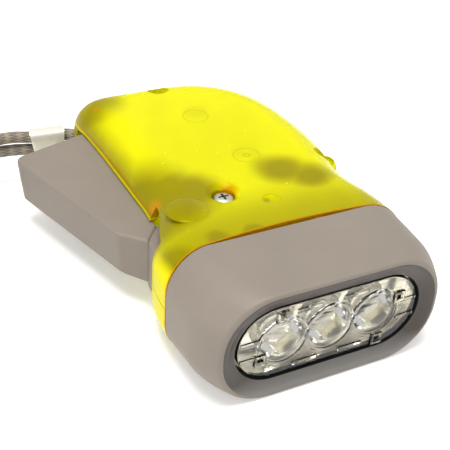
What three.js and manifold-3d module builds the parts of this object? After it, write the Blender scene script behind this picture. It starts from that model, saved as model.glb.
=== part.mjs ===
// Hand-squeezed dynamo flashlight: a grey lamp hood with three lenses, a translucent two-piece case,
// a squeeze lever with a toothed sector, the gear train, the generator, the cell, the switch,
// the lever lock and the wrist strap. Millimetres, +Z up, the light shines towards -Y.
// The origin is on the flat underside, at the middle of the body's length.

import * as THREE from 'three';
import { mergeVertices } from 'three/addons/utils/BufferGeometryUtils.js';
import Module from 'manifold-3d';

const wasm = await Module();
wasm.setup();

// Case: overall sizes, seen from the flat front ring of the hood backwards
const body_length = 103.5;
const body_height = 28.5;
const body_half_width = 30.4;
const case_wall = 1.7;
const edge_round = 10;
const touch_gap = 0.3;
const running_gap = 0.1;
const overrun = 5;
const mid_z = body_height / 2;

// Plan of the case as shares of the half width and of the length: right side, tail, left side
const case_plan_shares = [
  [1.026, 0.1], [1.026, 0.21], [1.003, 0.285], [0.948, 0.36], [0.934, 0.406], [0.96, 0.464],
  [0.997, 0.531], [1.01, 0.6], [1.0, 0.676], [0.967, 0.754], [0.901, 0.826], [0.796, 0.884],
  [0.641, 0.935], [0.444, 0.972], [0.214, 0.993], [0.0, 1.0], [-0.23, 0.999], [-0.46, 0.995],
  [-0.64, 0.99], [-0.755, 0.979], [-0.818, 0.956], [-0.833, 0.92], [-0.818, 0.875], [-0.805, 0.77],
  [-0.803, 0.66], [-0.803, 0.55], [-0.808, 0.46], [-0.84, 0.41], [-0.925, 0.352],
  [-0.988, 0.298], [-1.018, 0.25], [-1.026, 0.2], [-1.026, 0.1],
];
const case_plan_points = 48;
const round_steps = 5;
const spine_front_share = 0.1;
const spine_rear_share = 0.75;

// Hood and its seam against the case
const hood_seam_y = 20.8;
const hood_seam_bow = 2.4;
const hood_wall = 1.9;
const hood_side_share = 1.026;
const hood_half_width = hood_side_share * body_half_width;
const hood_taper = 3.2;
const hood_swell_depth = 10;
const hood_front_half_width = hood_half_width - hood_taper;
const hood_front_flat = 2.1;
const hood_front_round = (body_height - hood_front_flat) / 2;
const hood_ring_width = 4.2;
const hood_rim_round = 0.9;
const hood_ring_points = 10;
const neck_reach = 6.3;
const neck_wall = 1.7;
const neck_root = 3;

// Window and lens plate
const window_width = 2 * (hood_front_half_width - hood_ring_width);
const window_height = body_height - 2 * hood_ring_width;
const window_sink = 1.4;
const window_lip = 1.8;
const lens_plate_thick = 1.6;
const lens_plate_rim = 1;
const lens_pane_gap = 0.6;
const lens_diameter = 11.2;
const lens_pitch = 11.8;
const lens_bulge = 1.3;
const lens_collar_depth = 3.3;
const lens_collar_end = 3.4;
const lens_post_size = 2.8;
const lens_post_reach = 0.9;

// Reflector, lamps and their board
const reflector_depth = 8.6;
const reflector_wall = 1.2;
const reflector_pocket = 3.2;
const lamp_diameter = 5;
const lamp_flange = 0.45;
const lamp_length = 6.2;
const lamp_flange_thick = 1;
const board_thick = 1.4;
const lamp_board_margin = 2.3;

// Squeeze lever, turning about an upright pin
const pivot_x_share = -0.625;
const pivot_y_share = 0.3527;
const lever_height = 12.5;
const lever_wall = 1.4;
const lever_splay = 16.2;
const lever_closing = 20;
const lever_offset = 10.95;
const lever_draft = 0.72;
const lever_start = 11.9;
const lever_tail_room = 10;
const lever_cover = 1.2;
const lever_corner = 3;
const lever_floor_rise = 1.4;
const knuckle_radius = 9;
const knuckle_low = 1.2;
const knuckle_drop = 0.4;
const knuckle_window = 3.8;
const pivot_pin_radius = 1.5;
const pivot_boss_radius = 3.3;
const pivot_dome_radius = 5.2;
const pivot_dome_rise = 0.9;

// Return spring, a coil round the pivot pin with one leg to the lever and one to the case
const spring_radius = 4.1;
const spring_wire = 0.9;
const spring_turns = 4;
const spring_pitch = 1.35;
const spring_pocket_gap = 0.5;
const spring_leg = 3;

// Gear train: sector on the lever, drive pinion and large wheel on one axle, rotor pinion
const gear_x_share = 0.237;
const gear_y_share = 0.5507;
const rotor_x_share = 0.1316;
const rotor_y_share = 0.7826;
const sector_teeth = 60;
const drive_teeth = 12;
const wheel_teeth = 30;
const rotor_teeth = 14;
const pressure_angle = 25;
const tooth_backlash = 0.14;
const addendum_share = 0.85;
const dedendum_share = 1.2;
const sector_thick = 2.8;
const sector_rim = 5.4;
const wheel_thick = 2.8;
const wheel_web = 1.1;
const gear_step = 0.5;
const axle_radius = 1;
const axle_boss_radius = 3.2;
const hub_radius = 3.2;
const ratchet_teeth = 12;
const ratchet_radius = 12.6;
const ratchet_depth = 1.1;
const pawl_arms = 2;
const pawl_width = 1.5;

// Generator
const magnet_radius = 7;
const magnet_height = 4.3;
const pole_gap = 0.6;
const pole_thick = 2;
const core_height = 3.6;
const core_width = 2.6;
const core_offset = 13.7;
const pole_angle = 42;
const coil_length = 13.4;
const coil_width = 10.2;
const coil_depth = 7;
const bobbin_wall = 0.8;

// Case screws
const screw_head_radius = 2.6;
const screw_head_height = 1.6;
const screw_shank_radius = 1.1;
const screw_boss_radius = 3.1;
const screw_slot = 0.7;
const screw_end = 5.5;
const front_screw_shares = [-0.2566, 0.3884];
const side_screw_shares = [0.875, 0.486];
const tail_screw_shares = [-0.0263, 0.9285];
const front_screw_sink = 1.1;
const front_post_radius = 2.3;
const front_cup_wall = 0.9;
const front_dish_radius = 4.4;
const front_dish_depth = 0.9;
const side_boss_radius = 3.7;
const side_boss_drop = 2.7;
const dimple_shares = [0.046, 0.322];
const dimple_radius = 2.25;
const dimple_depth = 0.7;

// Charging board, its parts and the cell above it
const charge_board_x_share = 0.44;
const charge_board_behind = 7.35;
const charge_board_width = 22.5;
const charge_board_depth = 13;
const charge_board_z = 6.4;
const diode_radius = 1.1;
const diode_length = 4.2;
const diode_count = 4;
const capacitor_radius = 2.5;
const capacitor_height = 5;
const cell_radius = 5.8;
const cell_length = 16.2;
const cell_under_roof = 1.8;
const cell_z = body_height - case_wall - cell_under_roof - cell_radius;
const cell_rib = 1.6;
const wire_radius = 0.5;

// Power switch and lever lock: thumb pieces in recesses of the underside
const thumb_length = 9;
const thumb_width = 6;
const thumb_sink = 0.4;
const recess_depth = 1.3;
const recess_side = 0.6;
const pad_height = 3.2;
const pad_rim = 1.6;
const stem_size = 2.6;
const power_behind = 0.8;
const power_travel = 3;
const switch_case_height = 2.6;
const lock_travel = 3;
const lock_shares = [-0.296, 0.8068];
const lock_plate = 1.1;
const lock_plate_rim = 2.4;

// Wrist strap: cord with a knot in the tail corner, a crimped metal clip and a wrist loop
const cord_radius = 1.8;
const cord_sides = 8;
const cord_gap = 0.35;
const strand_rise = cord_radius + touch_gap / 2;
const knot_radius = 2.5;
const knot_rise = 3.6;
const strap_drop = 0.85;
const strap_z = mid_z - strap_drop;
const strap_corner_shares = [-0.752, 0.97];
const strap_exit_angle = 120;
const stub_inside = 4.1;
const stub_straight = 0.5;
const stub_bend = 5;
const stub_grip = 2;
const stub_steps = 9;
const clip_length = 9.8;
const clip_wall = 0.5;
const clip_width = 2 * (cord_radius + touch_gap + clip_wall);
const clip_height = 2 * (strand_rise + cord_radius + touch_gap + clip_wall);
const clip_angle = 170;
const cord_rest = 0.2;
const cord_steps = 42;

const degrees = Math.PI / 180;
const full_turn = 2 * Math.PI;
const wheel_sides = 24;
const pin_sides = 16;
const v2 = (x, y) => new THREE.Vector2(x, y);
const v3 = (x, y, z) => new THREE.Vector3(x, y, z);
const place = ([x_share, y_share]) => v2(x_share * body_half_width, y_share * body_length);

// Solids

function solid(geometry) {
  const bare = new THREE.BufferGeometry();
  bare.setAttribute('position', geometry.attributes.position);
  bare.setIndex(geometry.index);
  const merged = mergeVertices(bare);
  const at = merged.attributes.position;
  const index = merged.index.array;
  const corners = [];
  let volume = 0;
  for (let i = 0; i < index.length; i += 3) {
    const [a, b, c] = [index[i], index[i + 1], index[i + 2]];
    if (a === b || b === c || c === a) continue;
    corners.push(a, b, c);
    const [pa, pb, pc] = [a, b, c].map((k) => new THREE.Vector3().fromBufferAttribute(at, k));
    volume += pa.dot(pb.cross(pc));
  }
  if (volume < 0) corners.reverse();
  return new wasm.Manifold(new wasm.Mesh({
    numProp: 3,
    vertProperties: new Float32Array(at.array),
    triVerts: new Uint32Array(corners),
  }));
}

function join(first, ...others) {
  return others.reduce((all, next) => all.add(next), first);
}

function cut(first, ...others) {
  return others.reduce((all, next) => all.subtract(next), first);
}

function prism(points, z_low, z_high) {
  const geometry = new THREE.ExtrudeGeometry(new THREE.Shape(points), {
    depth: z_high - z_low, bevelEnabled: false, steps: 1,
  });
  return solid(geometry.translate(0, 0, z_low));
}

// A prism whose outline is given as x and z, running from one y to another
function prism_y(points, y_low, y_high) {
  const geometry = new THREE.ExtrudeGeometry(new THREE.Shape(points), {
    depth: y_high - y_low, bevelEnabled: false, steps: 1,
  });
  return solid(geometry.rotateX(Math.PI / 2).translate(0, y_high, 0));
}

function box(x_low, x_high, y_low, y_high, z_low, z_high) {
  const geometry = new THREE.BoxGeometry(x_high - x_low, y_high - y_low, z_high - z_low);
  return solid(geometry.translate((x_low + x_high) / 2, (y_low + y_high) / 2, (z_low + z_high) / 2));
}

function cylinder(radius, z_low, z_high, at, sides = wheel_sides) {
  const geometry = new THREE.CylinderGeometry(radius, radius, z_high - z_low, sides);
  geometry.rotateX(Math.PI / 2).translate(at.x, at.y, (z_low + z_high) / 2);
  return solid(geometry);
}

// A turned piece: its profile gives radius and height above the face that it stands on
function turned(profile, at, z, sides = wheel_sides) {
  const geometry = new THREE.LatheGeometry(profile.map(([r, h]) => v2(r, h)), sides);
  return solid(geometry.rotateX(Math.PI / 2).translate(at.x, at.y, z));
}

// A turned piece along Y: its profile gives radius and distance from the light's front plane
function turned_y(profile, x, sides = wheel_sides) {
  const geometry = new THREE.LatheGeometry(profile.map(([r, y]) => v2(r, y)), sides);
  return solid(geometry.translate(x, 0, mid_z));
}

// A closed skin through rings of equally many points
function loft(rings, flat) {
  const count = rings[0].length;
  const position = rings.flat().flatMap((p) => [p.x, p.y, p.z]);
  const index = [];
  for (let k = 0; k < rings.length - 1; k++) {
    for (let i = 0; i < count; i++) {
      const [a, b] = [k * count + i, k * count + ((i + 1) % count)];
      index.push(a, b, b + count, a, b + count, a + count);
    }
  }
  const last = (rings.length - 1) * count;
  for (const [a, b, c] of THREE.ShapeUtils.triangulateShape(rings[0].map(flat), [])) {
    index.push(a, c, b);
  }
  for (const [a, b, c] of THREE.ShapeUtils.triangulateShape(rings[rings.length - 1].map(flat), [])) {
    index.push(last + a, last + b, last + c);
  }
  const geometry = new THREE.BufferGeometry();
  geometry.setAttribute('position', new THREE.Float32BufferAttribute(position, 3));
  geometry.setIndex(index);
  return solid(geometry);
}

function turn_about(point, centre, angle) {
  return point.clone().rotateAround(centre, angle);
}

function ring_sector(centre, r_low, r_high, from, to, steps = round_steps) {
  const outer = [];
  const inner = [];
  for (let i = 0; i <= steps; i++) {
    const angle = from + ((to - from) * i) / steps;
    outer.push(v2(centre.x + r_high * Math.cos(angle), centre.y + r_high * Math.sin(angle)));
    inner.unshift(v2(centre.x + r_low * Math.cos(angle), centre.y + r_low * Math.sin(angle)));
  }
  return [...outer, ...inner];
}

// Involute teeth round a centre, as an outline; one tooth stands at first_angle
function tooth_points(teeth, module_size, centre, angle) {
  const pitch = (teeth * module_size) / 2;
  const base = pitch * Math.cos(pressure_angle * degrees);
  const root = pitch - dedendum_share * module_size;
  const tip = pitch + addendum_share * module_size;
  const involute = (r) => {
    const lean = Math.acos(Math.min(1, base / r));
    return Math.tan(lean) - lean;
  };
  const half_pitch = Math.PI / (2 * teeth) - tooth_backlash / (2 * pitch);
  const half = (r) => half_pitch + involute(pitch) - involute(Math.max(r, base));
  const radii = [root, Math.max(root + (pitch - root) / 2, base), pitch, (pitch + tip) / 2, tip];
  const at = (r, side) => v2(
    centre.x + r * Math.cos(angle + side * half(r)),
    centre.y + r * Math.sin(angle + side * half(r)),
  );
  return [...radii.map((r) => at(r, -1)), ...radii.map((r) => at(r, 1)).reverse()];
}

function gear_outline(teeth, module_size, centre, first_angle) {
  const outline = [];
  for (let i = 0; i < teeth; i++) {
    outline.push(...tooth_points(teeth, module_size, centre, first_angle + (full_turn * i) / teeth));
  }
  return outline;
}

function tube(points, radius, sides, steps) {
  const curve = new THREE.CatmullRomCurve3(points, false, 'centripetal');
  const ring = [];
  for (let i = 0; i < sides; i++) {
    const angle = (full_turn * (i + 0.5)) / sides;
    ring.push(v2(radius * Math.cos(angle), radius * Math.sin(angle)));
  }
  const geometry = new THREE.ExtrudeGeometry(new THREE.Shape(ring), {
    steps, bevelEnabled: false, extrudePath: curve,
  });
  return solid(geometry);
}

// Materials

function finish(color, roughness, metalness = 0) {
  return new THREE.MeshStandardMaterial({ color, roughness, metalness });
}

const yellow_plastic = finish(0xf4ee10, 0.25);
const grey_plastic = finish(0x968e8c, 0.55);
const clear_plastic = finish(0xe8ece6, 0.06);
const chrome_film = finish(0xdfe0dd, 0.08, 1);
const lamp_resin = finish(0xf5f6ee, 0.1);
const steel = finish(0xb9babb, 0.3, 1);
const iron = finish(0x8b8c8e, 0.45, 1);
const white_nylon = finish(0xeeece2, 0.5);
const magnet_grey = finish(0x3c3d40, 0.5, 0.4);
const copper = finish(0xb6703a, 0.35, 0.9);
const board_green = finish(0x2e6b3f, 0.5);
const black_resin = finish(0x1c1c1e, 0.45);
const cell_wrap = finish(0x2f8f4e, 0.4);
const dark_plastic = finish(0x4a4746, 0.5);
const red_cover = finish(0xb5281f, 0.5);
const black_cover = finish(0x202022, 0.5);
const cord_grey = finish(0x8d8984, 0.85);

const flashlight = new THREE.Group();
flashlight.position.y = -body_length / 2;

function piece(name, shape, material) {
  const { vertProperties, triVerts } = shape.getMesh();
  const geometry = new THREE.BufferGeometry();
  geometry.setAttribute('position', new THREE.BufferAttribute(vertProperties, 3));
  geometry.setIndex(new THREE.BufferAttribute(triVerts, 1));
  geometry.computeVertexNormals();
  const mesh = new THREE.Mesh(geometry, material);
  mesh.name = name;
  flashlight.add(mesh);
}

// Case volumes

const plan_curve = new THREE.CatmullRomCurve3(
  case_plan_shares.map((share) => v3(...place(share), 0)), false, 'centripetal',
);
const case_plan = plan_curve.getSpacedPoints(case_plan_points);
const spine = new THREE.Line3(
  v3(0, spine_front_share * body_length, 0), v3(0, spine_rear_share * body_length, 0),
);

// The case's rounded volume, drawn in by an inset on all sides
function case_volume(inset) {
  const round = edge_round - inset;
  const rings = [];
  for (const side of [-1, 1]) {
    for (let i = 0; i <= round_steps; i++) {
      const angle = ((side < 0 ? i : round_steps - i) / round_steps) * 90 * degrees;
      const drawn = inset + round * (1 - Math.sin(angle));
      const z = mid_z + side * (mid_z - inset - round * (1 - Math.cos(angle)));
      rings.push(case_plan.map((p) => {
        const nearest = spine.closestPointToPoint(p, true, new THREE.Vector3());
        const inward = nearest.sub(p).normalize();
        return v3(p.x + drawn * inward.x, p.y + drawn * inward.y, z);
      }));
    }
  }
  return loft(rings, (p) => v2(p.x, p.y));
}

// The hood's volume: a round-ended oval at the front that grows into the case's section
const hood_rear_y = hood_seam_y + hood_seam_bow + overrun;

function hood_ring(y, inset, rim) {
  const share = Math.min(1, Math.max(0, y / (hood_seam_y + hood_seam_bow)));
  const swell = Math.sin(Math.min(1, Math.max(0, y / hood_swell_depth)) * 90 * degrees);
  const half_width = hood_front_half_width + hood_taper * swell;
  const round = hood_front_round + (edge_round - hood_front_round) * share;
  const drawn = inset + rim;
  const ring = [];
  for (let corner = 0; corner < 4; corner++) {
    const [sx, sz] = [[1, 1], [-1, 1], [-1, -1], [1, -1]][corner];
    for (let i = 0; i <= hood_ring_points; i++) {
      const angle = (corner + i / hood_ring_points) * 90 * degrees;
      ring.push(v3(
        sx * (half_width - round) + (round - drawn) * Math.cos(angle),
        y,
        mid_z + sz * (mid_z - round) + (round - drawn) * Math.sin(angle),
      ));
    }
  }
  return ring;
}

function hood_volume(inset, y_front, y_rear, rim) {
  const rings = [];
  for (let i = 0; i < 3; i++) {
    const angle = (i / 3) * 90 * degrees;
    const drawn = rim * (1 - Math.sin(angle));
    rings.push(hood_ring(y_front + rim * (1 - Math.cos(angle)), inset, drawn));
  }
  for (let i = 0; i <= round_steps; i++) {
    const y = y_front + rim + ((y_rear - y_front - rim) * i) / round_steps;
    rings.push(hood_ring(y, inset, 0));
  }
  return loft(rim ? rings : rings.slice(3), (p) => v2(p.x, p.z));
}

// Everything in front of the bowed seam
function front_of_seam(offset) {
  const wide = body_half_width + overrun;
  const points = [];
  for (let i = 0; i <= 2 * round_steps; i++) {
    const x = wide * (i / round_steps - 1);
    const bow = hood_seam_bow * (1 - (x / body_half_width) ** 2);
    points.push(v2(x, hood_seam_y + bow + offset));
  }
  return prism([v2(-wide, -overrun), ...points, v2(wide, -overrun)].reverse(),
    -overrun, body_height + overrun);
}

function oval(width, height, steps = 2 * round_steps) {
  const r = height / 2;
  const points = [];
  for (const side of [1, -1]) {
    for (let i = 0; i <= steps; i++) {
      const angle = ((180 * i) / steps - 90) * degrees;
      const across = side * (width / 2 - r + r * Math.cos(angle));
      points.push(v2(across, mid_z + side * r * Math.sin(angle)));
    }
  }
  return points;
}

function cylinder_x(radius, x_low, x_high, y, z, sides = wheel_sides) {
  const geometry = new THREE.CylinderGeometry(radius, radius, x_high - x_low, sides);
  return solid(geometry.rotateZ(Math.PI / 2).translate((x_low + x_high) / 2, y, z));
}

// Lamp hood: a moulded cap with a sloping front ring round the window

const hood_cavity_y = window_sink + window_lip;
const ring_slope = [-1, 1].map((side) => {
  const grow = (hood_front_half_width - window_width / 2 - 2 * hood_rim_round) * (1 - side);
  return oval(window_width + grow, window_height + grow).map((p) => v3(p.x, side * window_sink, p.y));
});
piece('hood', cut(
  hood_volume(0, 0, hood_rear_y, hood_rim_round).intersect(front_of_seam(0)),
  loft(ring_slope, (p) => v2(p.x, p.z)),
  prism_y(oval(window_width, window_height), 0, hood_cavity_y + overrun),
  hood_volume(hood_wall, hood_cavity_y, hood_rear_y + overrun, 0),
), grey_plastic);

// Lens plate: a flange behind the window's lip, a pane raised through it with three convex lenses
// and four small square posts, a collar behind each lens

const lens_xs = [-lens_pitch, 0, lens_pitch];
const plate_width = window_width + 2 * lens_plate_rim;
const plate_height = window_height + 2 * lens_plate_rim;
const plate_front = hood_cavity_y + touch_gap;
const plate_rear = plate_front + lens_plate_thick;
const plate_middle = (plate_front + plate_rear) / 2;
const pane_front = window_sink;
const lens_radius = lens_diameter / 2;
const lens_sphere = (lens_radius ** 2 + lens_bulge ** 2) / (2 * lens_bulge);
const lens_edge_angle = Math.asin(lens_radius / lens_sphere);
const post_shares = [[-0.37, -0.17], [0.37, 0.17], [-0.27, 0.36], [0.27, -0.36]];
const lens_plate = [
  prism_y(oval(plate_width, plate_height), plate_front, plate_rear),
  prism_y(oval(window_width - 2 * lens_pane_gap, window_height - 2 * lens_pane_gap),
    pane_front, plate_middle),
];
for (const x of lens_xs) {
  const dome = [];
  for (let i = 0; i <= round_steps; i++) {
    const angle = (lens_edge_angle * i) / round_steps;
    const depth = lens_sphere * (1 - Math.cos(angle));
    dome.push([lens_sphere * Math.sin(angle), pane_front - lens_bulge + depth]);
  }
  dome.push([lens_radius, plate_middle], [0, plate_middle]);
  const collar_rear = plate_rear + lens_collar_depth - touch_gap;
  lens_plate.push(turned_y(dome, x), turned_y([
    [0, plate_middle], [lens_radius - touch_gap, plate_middle], [lens_collar_end, collar_rear],
    [0, collar_rear],
  ], x));
}
for (const [x_share, z_share] of post_shares) {
  const x = x_share * window_width;
  const z = mid_z + z_share * window_height;
  const half = lens_post_size / 2;
  lens_plate.push(box(x - half, x + half, pane_front - lens_post_reach, plate_middle,
    z - half, z + half));
}
piece('lens_plate', join(...lens_plate), clear_plastic);

// Reflector tray: a metallised cup for each lamp behind a shallow pocket

const tray_front = plate_rear + touch_gap;
const tray_rear = tray_front + reflector_depth;
const pocket_floor = tray_front + reflector_pocket;
const lamp_radius = lamp_diameter / 2;
const cup_mouth = lens_pitch / 2 - touch_gap;
const cup_throat = lamp_radius + touch_gap;
const tray_cuts = [prism_y(
  oval(plate_width - 2 * reflector_wall, plate_height - 2 * reflector_wall),
  tray_front - overrun, pocket_floor,
)];
for (const x of lens_xs) {
  tray_cuts.push(turned_y([
    [0, pocket_floor - reflector_wall], [cup_mouth, pocket_floor - reflector_wall],
    [cup_mouth, pocket_floor], [cup_throat, tray_rear - reflector_wall],
    [cup_throat, tray_rear + overrun], [0, tray_rear + overrun],
  ], x));
}
piece('reflector_tray',
  cut(prism_y(oval(plate_width, plate_height), tray_front, tray_rear), ...tray_cuts), chrome_film);

// Three lamps and the board that carries them

const lamp_base = tray_rear + touch_gap + lamp_flange_thick;
const lamp_names = ['lamp_left', 'lamp_middle', 'lamp_right'];
lens_xs.forEach((x, lamp) => {
  const profile = [];
  for (let i = 0; i <= round_steps; i++) {
    const angle = (90 * degrees * i) / round_steps;
    const depth = lamp_radius * (1 - Math.cos(angle));
    profile.push([lamp_radius * Math.sin(angle), lamp_base - lamp_length + depth]);
  }
  const flange = lamp_radius + lamp_flange;
  const flange_y = lamp_base - lamp_flange_thick;
  profile.push([lamp_radius, flange_y], [flange, flange_y], [flange, lamp_base], [0, lamp_base]);
  piece(lamp_names[lamp], turned_y(profile, x, pin_sides), lamp_resin);
});
const lamp_board_y = lamp_base + touch_gap;
const lamp_board_rear = lamp_board_y + board_thick;
piece('lamp_board', prism_y(
  oval(plate_width - 2 * lamp_board_margin, plate_height - 2 * lamp_board_margin),
  lamp_board_y, lamp_board_rear,
),
  board_green);

// Places of the upright axes and of the lever's levels

const pivot = place([pivot_x_share, pivot_y_share]);
const gear_axis = place([gear_x_share, gear_y_share]);
const rotor_axis = place([rotor_x_share, rotor_y_share]);
const splay = lever_splay * degrees;
const lever_reach = (strap_corner_shares[1] * body_length - lever_tail_room - pivot.y) / Math.cos(splay);
const lever_low = mid_z - lever_height / 2;
const lever_high = mid_z + lever_height / 2;
const knuckle_bottom = lever_low - knuckle_low;
const knuckle_top = lever_high - knuckle_drop;
const cavity_low = lever_low + lever_wall;
const cavity_high = lever_high - lever_wall;

// Levels of the gears, counted up from the lever's floor

const wheel_low = cavity_low + gear_step;
const wheel_high = wheel_low + wheel_thick;
const web_top = wheel_low + wheel_web;
const pawl_low = web_top + touch_gap;
const drive_low = wheel_high + gear_step;
const sector_low = drive_low + gear_step;
const sector_high = sector_low + sector_thick;
const drive_high = sector_high + gear_step;
const rotor_gear_low = wheel_low - touch_gap;
const rotor_gear_high = wheel_high + touch_gap;
const flywheel_high = rotor_gear_high + lever_wall;
const magnet_low = flywheel_high + touch_gap;
const magnet_high = magnet_low + magnet_height;

// Case shells, split at mid height, open beside the lever

const wide = body_half_width + body_length;
const opening_low = lever_low - touch_gap;
const opening_high = lever_high + touch_gap;
const opening_front = pivot.y - knuckle_radius / 2;
const lever_sweep = Math.hypot(lever_reach, lever_offset + lever_draft);
const opening_rear = pivot.y + lever_sweep + lever_cover;
const lip_x = case_plan.reduce((near, p) => (
  Math.abs(p.y - gear_axis.y) < Math.abs(near.y - gear_axis.y) && p.x < 0 ? p : near
), v3(0, 0, 0)).x;
const opening_x = lip_x + 2 * case_wall;
const opening = join(
  box(-wide, opening_x, opening_front, opening_rear, opening_low, opening_high),
  box(-wide, pivot.x + pivot_pin_radius, opening_front, pivot.y + knuckle_radius + touch_gap,
    opening_low, opening_high + knuckle_window),
);

const neck_inset = hood_wall + touch_gap;
const knuckle_room = cylinder(knuckle_radius + touch_gap, knuckle_bottom - touch_gap,
  knuckle_top + touch_gap, pivot, 2 * pin_sides);
const case_skin = cut(
  join(
    cut(case_volume(0), front_of_seam(touch_gap)),
    hood_volume(neck_inset, hood_seam_y - neck_reach, hood_rear_y, 0)
      .intersect(front_of_seam(neck_root)),
  ),
  cut(case_volume(case_wall), front_of_seam(neck_root)),
  hood_volume(neck_inset + neck_wall, hood_seam_y - neck_reach - overrun, hood_rear_y, 0),
  opening,
  knuckle_room,
);
const inside_case = cut(case_volume(case_wall / 2), front_of_seam(neck_root - touch_gap));
const upper_zone = box(-wide, wide, -overrun, body_length + overrun,
  mid_z + touch_gap / 2, body_height + overrun);
const lower_zone = box(-wide, wide, -overrun, body_length + overrun,
  -overrun, mid_z - touch_gap / 2);

const post_low = (at, radius, top) => cylinder(radius, 0, top, at).intersect(inside_case);
const post_high = (at, radius, bottom) => cylinder(radius, bottom, body_height, at)
  .intersect(inside_case);

const pin_low = case_wall;
const pin_high = body_height - case_wall;
const pin_hole = (at, radius) => cylinder(radius + running_gap,
  pin_low - touch_gap, pin_high + touch_gap, at);

const front_screw = place(front_screw_shares);
const side_screw = place(side_screw_shares);
const tail_screw = place(tail_screw_shares);
const screw_seat = body_height - screw_head_height - 2 * case_wall;
const side_seat = screw_seat - side_boss_drop;
const front_seat = body_height - front_screw_sink - screw_head_height - touch_gap / 2;
const front_cup_radius = screw_head_radius + touch_gap + front_cup_wall;
const low_post_radius = screw_boss_radius - gear_step;
const screws = [
  ['case_screw_front', front_screw, front_seat, front_post_radius],
  ['case_screw_side', side_screw, side_seat, low_post_radius],
  ['case_screw_tail', tail_screw, screw_seat, low_post_radius],
];
const side_boss_low = mid_z + touch_gap / 2;
const side_boss = turned([
  [0, 0], [side_boss_radius, 0], [side_boss_radius, side_seat + screw_head_height - side_boss_low],
  [screw_head_radius + touch_gap, side_seat + 2 * screw_head_height - side_boss_low],
  [0, side_seat + 2 * screw_head_height - side_boss_low],
], side_screw, side_boss_low);

const rotor_boss_low = rotor_gear_low - touch_gap;
const rotor_boss_high = magnet_high + 2 * touch_gap;
const drive_boss_high = drive_high + touch_gap;

// Generator places: the core closes round the magnet and runs through the coil

const pole_inner = magnet_radius + pole_gap;
const pole_outer = pole_inner + pole_thick;
const leg_inner = pole_inner + pole_gap / 2;
const leg_outer = leg_inner + core_width;
const core_x = rotor_axis.x + core_offset;
const core_z = (magnet_low + magnet_high) / 2;
const core_low = core_z - core_height / 2;
const core_high = core_z + core_height / 2;
const core_rear = v2(core_x, rotor_axis.y + (leg_inner + leg_outer) / 2);
const core_front = v2(core_x, rotor_axis.y - (leg_inner + leg_outer) / 2);

// Charging board and cell places

const board_centre = v2(
  charge_board_x_share * body_half_width, hood_seam_y + charge_board_behind,
);
const board_top = charge_board_z + board_thick;
const cell_low_x = board_centre.x - cell_length / 2;
const cell_high_x = board_centre.x + cell_length / 2;
const cell_rib_xs = [cell_low_x + 2 * cell_rib, cell_high_x - 2 * cell_rib];
const cell_ribs = cell_rib_xs.map((x) => cut(
  box(x - cell_rib / 2, x + cell_rib / 2, board_centre.y - cell_radius, board_centre.y + cell_radius,
    cell_z, body_height).intersect(inside_case),
  cylinder_x(cell_radius + touch_gap, x - cell_rib, x + cell_rib, board_centre.y, cell_z),
));
const board_posts = [-1, 1].map((side) => v2(
  board_centre.x + side * (charge_board_width / 2 - axle_boss_radius),
  board_centre.y + charge_board_depth / 2 - axle_boss_radius,
));

// Slides of the underside: a thumb piece in a recess, a stem through a slot, room for its travel

const lock_at = place(lock_shares);
const power_at = v2(board_centre.x, board_centre.y + power_behind);

function slide_cuts(at, travel) {
  const half_x = thumb_length / 2 + recess_side;
  const half_y = thumb_width / 2 + recess_side;
  const half_stem = stem_size / 2 + touch_gap;
  return [
    box(at.x - half_x, at.x + half_x, at.y - half_y, at.y + travel + half_y, -overrun, recess_depth),
    box(at.x - half_stem, at.x + half_stem, at.y - half_stem, at.y + travel + half_stem,
      -overrun, pad_height + overrun / 2),
  ];
}

function slide_pad(at, travel) {
  const half_x = thumb_length / 2 + recess_side + pad_rim;
  const half_y = thumb_width / 2 + recess_side + pad_rim;
  return box(at.x - half_x, at.x + half_x, at.y - half_y, at.y + travel + half_y, 0, pad_height)
    .intersect(inside_case);
}

function slide_piece(at, stem_top) {
  const half_x = thumb_length / 2;
  const half_y = thumb_width / 2;
  const half_stem = stem_size / 2;
  const thumb_top = recess_depth - touch_gap;
  return join(
    box(at.x - half_x, at.x + half_x, at.y - half_y, at.y + half_y, thumb_sink, thumb_top),
    box(at.x - half_stem, at.x + half_stem, at.y - half_stem, at.y + half_stem, thumb_sink, stem_top),
  );
}

// Strap holes through the tail corner, one above the other

const strap_corner = place(strap_corner_shares);
const strap_out = v2(Math.cos(strap_exit_angle * degrees), Math.sin(strap_exit_angle * degrees));
const strap_at = (distance, rise = 0) => v3(
  strap_corner.x + distance * strap_out.x, strap_corner.y + distance * strap_out.y, strap_z + rise,
);
const strand_rises = [-strand_rise, strand_rise];
const strap_holes = strand_rises.map((rise) => tube(
  [strap_at(-stub_inside, rise), strap_at(overrun, rise)], cord_radius + cord_gap, 2 * cord_sides, 1,
));

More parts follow.
